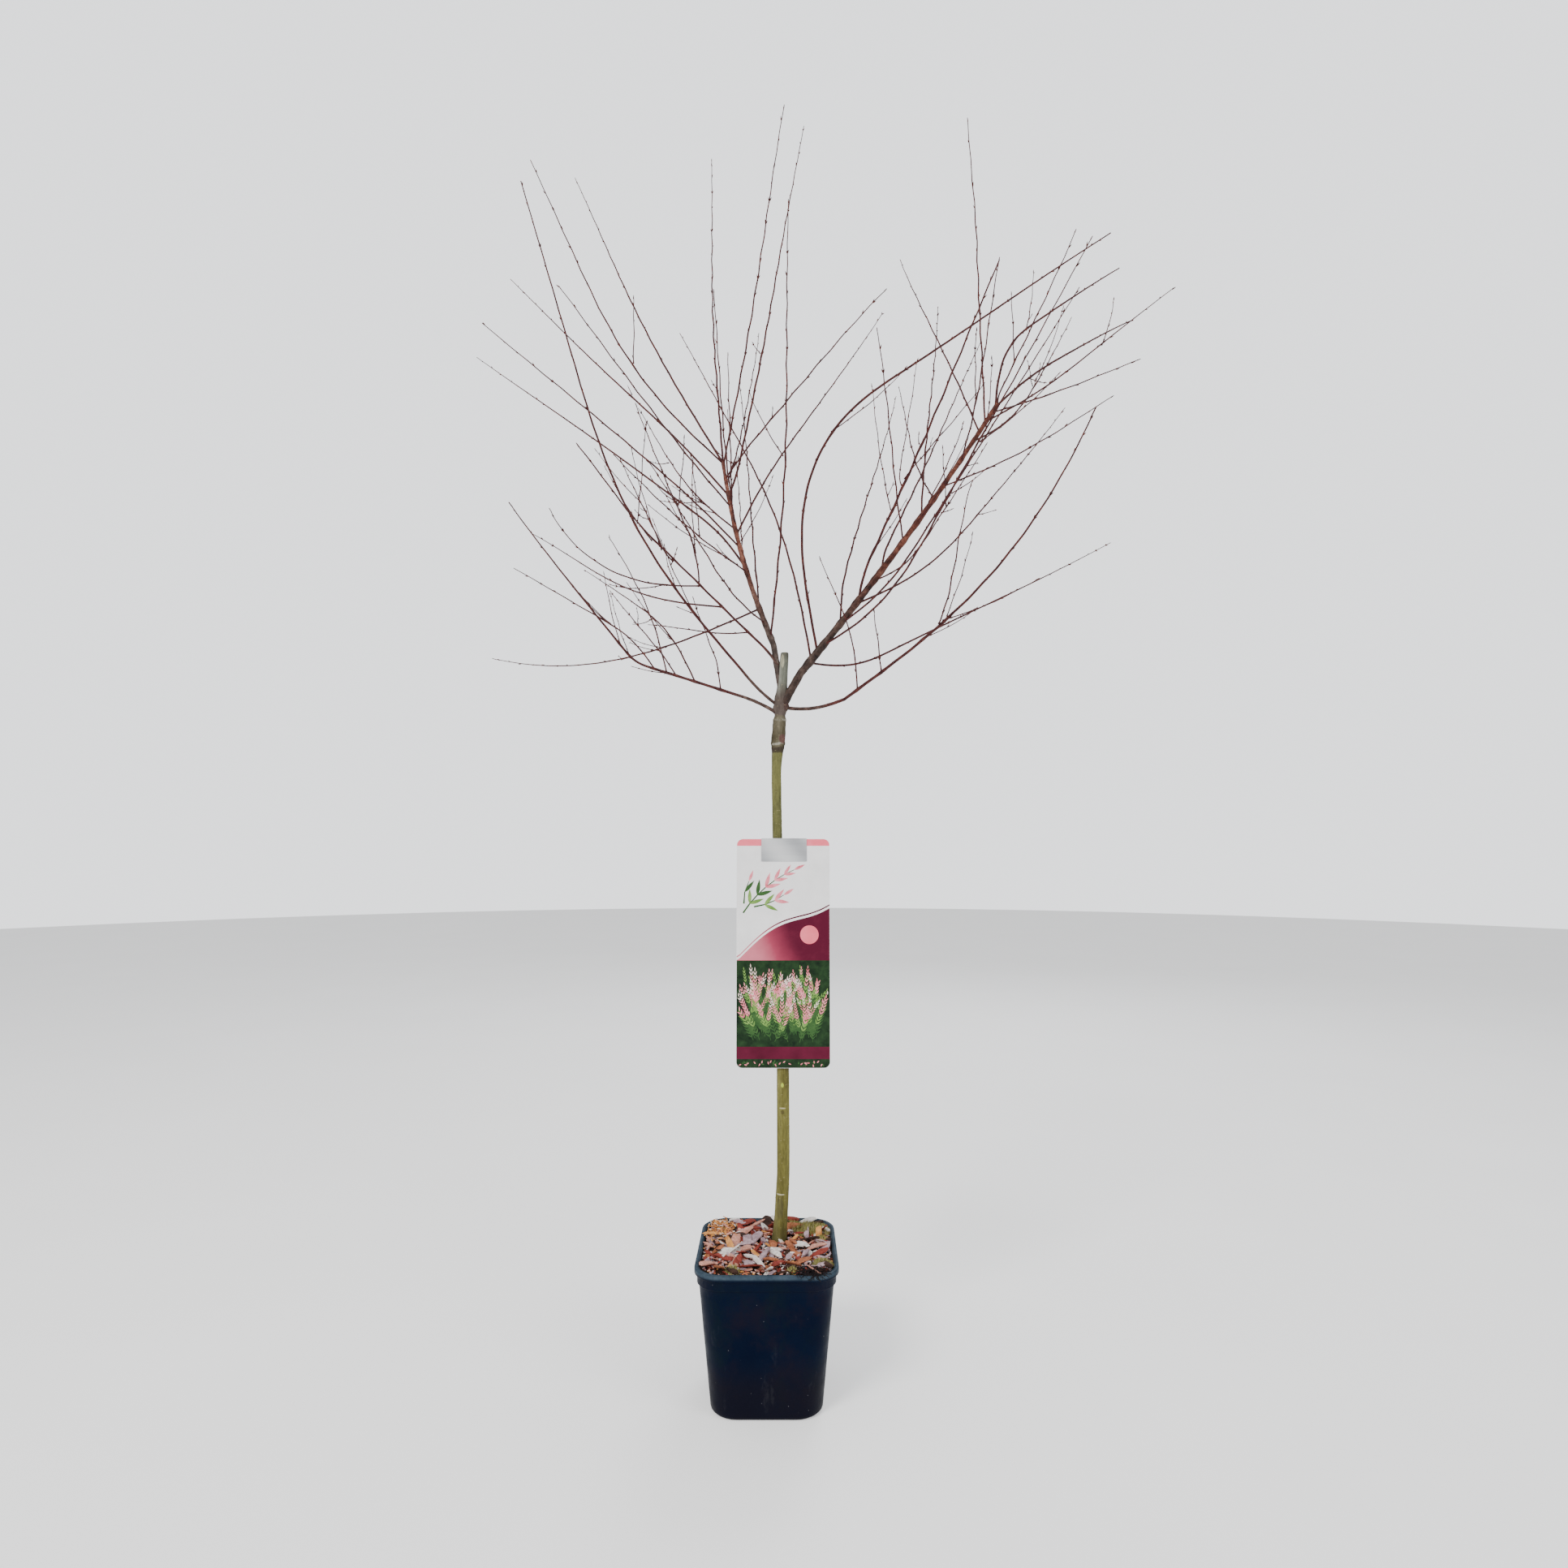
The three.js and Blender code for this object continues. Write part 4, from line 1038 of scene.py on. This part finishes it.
def add_buds(mesh, limb, lines, rng):
    """A bud at every node, sometimes a pair, and one at the tip."""
    centres, direction, side, across, radius = lines
    length = limb.course.length
    at = rng.uniform(6, 14) + BARE_SHARE[limb.rank] * length
    turn = rng.uniform(0, FULL_TURN)
    last = len(centres) - 1
    while at < length - 3:
        i = min(int(at / length * last), last - 1)
        base = lerp(centres[i], centres[i + 1], at / length * last - i)
        outward = math.cos(turn) * side[i] + math.sin(turn) * across[i]
        size = rng.uniform(0.75, 1.1) * (0.9, 1.0, 0.82, 0.82)[limb.rank]
        add_bud(mesh, base, direction[i], outward, radius[i], (size, size))
        if rng.uniform() < 0.25:
            add_bud(mesh, base, direction[i], -outward, radius[i], (size * 0.9, size * 0.9))
        at += NODE_SPACING * rng.uniform(0.7, 1.25) * (0.8 if limb.rank > 1 else 1.0)
        turn += math.radians(GOLDEN_ANGLE) + rng.normal(0, 0.2)
    tip = centres[-1] - direction[-1] * 4.6
    add_bud(mesh, tip, direction[-1], across[-1] * 0.05 + side[-1] * 0.02, radius[-1], (0.95, 0.8))


# Label, clip and tie

CARD_FRONT = LABEL_BACK_Y - LABEL_THICKNESS
INLAY = 0.06
PRINT_FRONT = CARD_FRONT - INLAY
PRINT_EDGE = LABEL_WIDTH / 2 - 0.3
# Heights in the print, down from the card's upper edge, and the bare disc
STRIP_FOOT = -9.0
PANEL_TOP = -157.0
BAND_TOP = -267.0
BAND_BOTTOM = -282.5
DISC = (34, -124, 12)
# Large sprays in the white field: foot, turn, bend, length and tones from foot to tip
LARGE_SPRAYS = [
    ((-52, -96), 0.95, -0.5, 88, (0, 3, 1, 1, 1)),
    ((-38, -88), 0.2, 0.35, 42, (0, 1, 1)),
    ((-51, -84), 1.5, -0.3, 30, (3, 1)),
]
SPRAYS = 96
SPRAY_TONES = ((3, 3, 3, 0), (3, 3, 0, 1), (3, 0, 1, 1, 2))
FALLEN_LEAVES = 34


def add_slab(mesh, outline, slot=0, front=PRINT_FRONT, back=CARD_FRONT):
    """Flat plate between two depths; the outline runs anticlockwise seen from the camera."""
    n = len(outline)
    flat = np.array(outline) + (LABEL_X, LABEL_TOP)
    verts = np.vstack([np.insert(flat, 1, depth, axis=1) for depth in (front, back)])
    j = np.arange(n)
    k = (j + 1) % n
    mesh.add(verts, np.stack([j, n + j, n + k, k], axis=1), slot)
    mesh.more([j], len(verts), slot)
    mesh.more([n + j[::-1]], len(verts), slot)


# Inks of the card: dark and light tone, and how fine their mottling is
INKS = {
    "white": ((0.8, 0.79, 0.79), (0.92, 0.91, 0.91), 30),
    "maroon": ((0.07, 0.003, 0.016), (0.12, 0.008, 0.03), 30),
    "pink": ((0.84, 0.13, 0.18), (0.92, 0.21, 0.27), 30),
    "forest": ((0.003, 0.012, 0.005), (0.018, 0.048, 0.016), 110),
    "leaf_green": ((0.1, 0.22, 0.04), (0.24, 0.4, 0.1), 120),
    "leaf_pink": ((0.66, 0.12, 0.17), (0.92, 0.36, 0.42), 120),
    "leaf_pale": ((0.7, 0.5, 0.44), (0.9, 0.78, 0.72), 120),
    "leaf_shade": ((0.02, 0.065, 0.018), (0.055, 0.13, 0.035), 120),
}


def printed(ink):
    dark, light, scale = INKS[ink]
    s = Shader("card_" + ink)
    rough = s.mask(s.noise(70, 4, 0.6), 0.3, 0.7, 0.39, 0.55)
    tone = s.ramp(s.noise(scale, 5, 0.6), (0.3, dark), (0.7, light))
    return s.done(tone, s.noise(60, 3, 0.5), 0.12, 0.4, Roughness=rough)


def leaf_outline(at, turn, length, width):
    t = np.linspace(0, 1, 9)
    wide = np.sin(np.pi * t ** 0.8) * width / 2
    near, far = np.column_stack([t * length, -wide]), np.column_stack([t * length, wide])
    c, s = circle(turn)
    return np.vstack([near, far[::-1][1:-1]]) @ [[c, s], [-s, c]] + at


def card_wash():
    """Maroon that fades to pink towards the lower left of the upper field."""
    s = Shader("card_wash", rough=0.45)
    slope = s.plus(s.times(s.axis(0), 2.2), s.axis(2))
    grain = s.times(s.math("SUBTRACT", s.noise(90, 4, 0.6), 0.5), 0.16)
    tone = s.ramp(s.plus(s.band(slope, 0.48, 0.64), grain), (0.0, (0.6, 0.17, 0.22)),
                  (0.45, (0.34, 0.045, 0.085)), (1.0, (0.085, 0.004, 0.02)))
    return s.done(tone, s.noise(60, 3, 0.5), 0.12, 0.4)


def add_spray(mesh, start, turn, bend, length, leaf, tones, depth, back):
    """Stalk that bends evenly, with a pair of narrow leaves at every step and one at its tip."""
    count = int(length / (leaf * 0.62))
    line = [np.array(start, float)]
    for i in range(count):
        share = i / max(count - 1, 1)
        way = turn + bend * share
        point = line[-1] + circle(way) * length / count
        if abs(point[0]) > LABEL_WIDTH / 2 - 2:
            break
        line.append(point)
        tone = tones[min(int(share * len(tones)), len(tones) - 1)]
        size = leaf * (0.75 + 0.25 * math.sin(math.pi * min(share + 0.25, 1.0)))
        splay = 0.62 - 0.25 * share
        for swing in (splay, -splay) if i < count - 1 else (0.0,):
            blade = leaf_outline(point, way + swing, size, size * 0.24)
            if np.abs(blade[:, 0]).max() < LABEL_WIDTH / 2 - 1:
                add_slab(mesh, blade, tone, depth, back)
    if len(line) > 1:
        x, y = unit(np.gradient(np.array(line), axis=0)).T
        side = np.column_stack([-y, x]) * np.linspace(0.05, 0.02, len(line))[:, None] * leaf
        add_slab(mesh, np.vstack([line - side, (line + side)[::-1]]), 3, (depth + back) / 2, back)


def add_sprays(mesh, rng):
    """Large sprays in the white field, a thicket of small ones in the dark panel, a few leaves under it."""
    for start, turn, bend, length, tones in LARGE_SPRAYS:
        add_spray(mesh, start, turn, bend, length, 21, tones, PRINT_FRONT - INLAY * 0.3, CARD_FRONT)
    for i in range(SPRAYS):
        share = i / SPRAYS
        length = rng.uniform(34, 72)
        x = rng.uniform(15 - PRINT_EDGE, PRINT_EDGE - 15)
        start = (x, rng.uniform(-262, PANEL_TOP - 9 - length))
        turn = math.pi / 2 + rng.uniform(-0.5, 0.5)
        bend = rng.uniform(-0.35, 0.35)
        tones = SPRAY_TONES[min(int(share * 3.6), 2)]
        depth = PRINT_FRONT - INLAY * (0.3 + 0.7 * share)
        add_spray(mesh, start, turn, bend, length, rng.uniform(5.5, 8.0), tones, depth, PRINT_FRONT)
    for i in range(FALLEN_LEAVES):
        x = rng.uniform(6 - PRINT_EDGE, PRINT_EDGE - 6)
        blade = leaf_outline((x, rng.uniform(-290, -287)), rng.uniform(0, 6.28), 4, 1.5)
        front = PRINT_FRONT - INLAY * (0.3 + 0.01 * i)
        add_slab(mesh, blade, int(rng.choice([1, 3])), front, PRINT_FRONT)


def print_strip(top, bottom):
    """Rounded rectangle across the print, between two heights."""
    return rounded_outline(-PRINT_EDGE, PRINT_EDGE, bottom, top, LABEL_CORNER - 0.3)


def make_label():
    card = Mesh()
    outline = rounded_outline(-LABEL_WIDTH / 2, LABEL_WIDTH / 2, -LABEL_HEIGHT, 0, LABEL_CORNER)
    add_slab(card, outline, 0, CARD_FRONT, LABEL_BACK_Y)
    base = card.piece("label_card", [printed("white")], smooth_faces=False)
    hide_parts("plant_label")

    # A generic print: a strip, a wave that fades, a bare disc, a dark field and a band
    art = Mesh()
    left, right = -PRINT_EDGE, PRINT_EDGE
    strip = [(x, max(z, STRIP_FOOT)) for x, z in print_strip(-0.3, -16)]
    add_slab(art, strip)
    across = np.linspace(left, right, 30)
    crest = -118 + 0.62 * across + 9 * np.sin(across / 24 + 2.2)
    wave = np.column_stack([across, np.maximum(crest, PANEL_TOP + 0.4)])
    corners = [(left, PANEL_TOP), (right, PANEL_TOP)]
    add_slab(art, np.vstack([corners, wave[::-1]]), 1)
    add_slab(art, np.vstack([wave + (0, 3.2), wave[::-1] + (0, 5.0)]), 1)
    disc = np.array(DISC[:2]) + DISC[2] * circle(angles(39))
    add_slab(art, disc, 0, PRINT_FRONT - INLAY, PRINT_FRONT)
    for low, high, tone in ((BAND_TOP, PANEL_TOP, 2), (BAND_BOTTOM, BAND_TOP, 3)):
        field = [(left, low), (right, low), (right, high), (left, high)]
        add_slab(art, field, tone)
    foot = [(x, min(z, BAND_BOTTOM)) for x, z in print_strip(-272, -LABEL_HEIGHT + 0.3)]
    add_slab(art, foot, 2)
    inks = [printed("pink"), card_wash(), printed("forest"), printed("maroon")]
    prints = art.piece("label_print", inks, smooth_faces=False)

    leaves = Mesh()
    add_sprays(leaves, np.random.default_rng(LABEL_SEED))
    inks = [printed("leaf_" + tone) for tone in ("green", "pink", "pale", "shade")]
    motif = leaves.piece("label_leaves", inks, smooth_faces=False)


def clip_steel():
    """Brushed plate with a slanting sheen painted into its colour."""
    s = Shader("clip_steel", rough=0.34, metal=0.85, specular=0.5)
    # Painted sheen: slanting bands of lighter and darker colour across the plate.
    wave = s.math("SINE", s.times(s.plus(s.axis(0), s.times(s.axis(2), 0.8)), 95.0))
    brush = s.noise(260, 4, 0.6, stretch=(0.04, 1, 1))
    tone = s.plus(s.times(wave, 0.32), s.plus(s.times(brush, 0.35), 0.34))
    tone = s.ramp(tone, (0.0, (0.4, 0.41, 0.43)), (0.5, (0.72, 0.73, 0.74)), (1.0, (0.97, 0.97, 0.97)))
    return s.done(tone, brush, 0.1, 0.08)


def dress_fixings():
    steel = clip_steel()
    strap = plain("tie_strap", (0.012, 0.012, 0.013), (0.04, 0.04, 0.043), 400, 0.5, 0.3, 0.2)
    for node, material in (("label_clip", steel), ("label_tie", strap)):
        for held in frame["nodes"][node].material_slots:
            held.material = material


# Camera, light and floor

SKY_COLOUR = (0.96, 0.975, 1.0, 1.0)
SKY_LIGHT = 0.7
SKY_SEEN = 1.9
FLOOR_GLOW = 0.5
FLOOR_RADIUS = 9
LIGHT_AIM = Vector((0.05, 0, 0.8))
# Name, place, size, power and colour
LIGHTS = [
    ("key", (-1.8, -2.4, 3.0), 1.4, 120, (1.0, 0.98, 0.95)),
    ("fill", (2.6, -1.8, 1.8), 1.8, 40, (1, 1, 1)),
    ("back", (0.8, 2.6, 2.6), 1.6, 45, (0.95, 0.97, 1.0)),
]


def make_camera():
    data = dressed(bpy.data.cameras.new("camera"), lens=CAMERA_LENS, sensor_width=SENSOR)
    data.dof.use_dof = False
    bpy.context.scene.camera = add_object(
        "camera", data,
        location=[value * MM for value in CAMERA_AT],
        rotation_euler=(math.radians(90 + CAMERA_PITCH), 0, 0),
    )


def make_sky():
    """Dim light from all round, behind a bright plain backdrop."""
    world = bpy.data.worlds.new("studio")
    bpy.context.scene.world = world
    world.use_nodes = True
    nodes, links = world.node_tree.nodes, world.node_tree.links
    sky = nodes["Background"].inputs
    sky["Color"].default_value = SKY_COLOUR
    seen = nodes.new("ShaderNodeLightPath").outputs["Is Camera Ray"]
    strength = nodes.new("ShaderNodeMapRange")
    strength.inputs["To Min"].default_value = SKY_LIGHT
    strength.inputs["To Max"].default_value = SKY_SEEN
    links.new(seen, strength.inputs["Value"])
    links.new(strength.outputs["Result"], sky["Strength"])


def make_lights():
    for name, at, size, power, tone in LIGHTS:
        data = bpy.data.lights.new(name, "AREA")
        dressed(data, shape="DISK", size=size, energy=power, color=tone)
        aim = (LIGHT_AIM - Vector(at)).to_track_quat("-Z", "Y").to_euler()
        add_object(name, data, location=at, rotation_euler=aim)


def make_floor():
    rim = np.pad(FLOOR_RADIUS * circle(angles(64)), ((0, 0), (0, 1)))
    mesh = bpy.data.meshes.new("floor")
    mesh.from_pydata(rim.tolist(), [], [list(range(len(rim)))])
    floor = add_object("floor", mesh)
    pale = Shader("floor_pale", rough=0.9, specular=0.2)
    tone = pale.mask(pale.noise(3, 3, 0.5), 0.2, 0.8, 0.86, 0.89)
    pale.fill(pale.surface, {"Base Color": tone, "Emission Color": tone, "Emission Strength": FLOOR_GLOW})
    mesh.materials.append(pale.material)


make_camera()
make_sky()
make_lights()
make_floor()
make_pot()
make_soil()
make_mulch()
make_stem()
make_crown()
make_label()
dress_fixings()

bpy.context.view_layer.update()
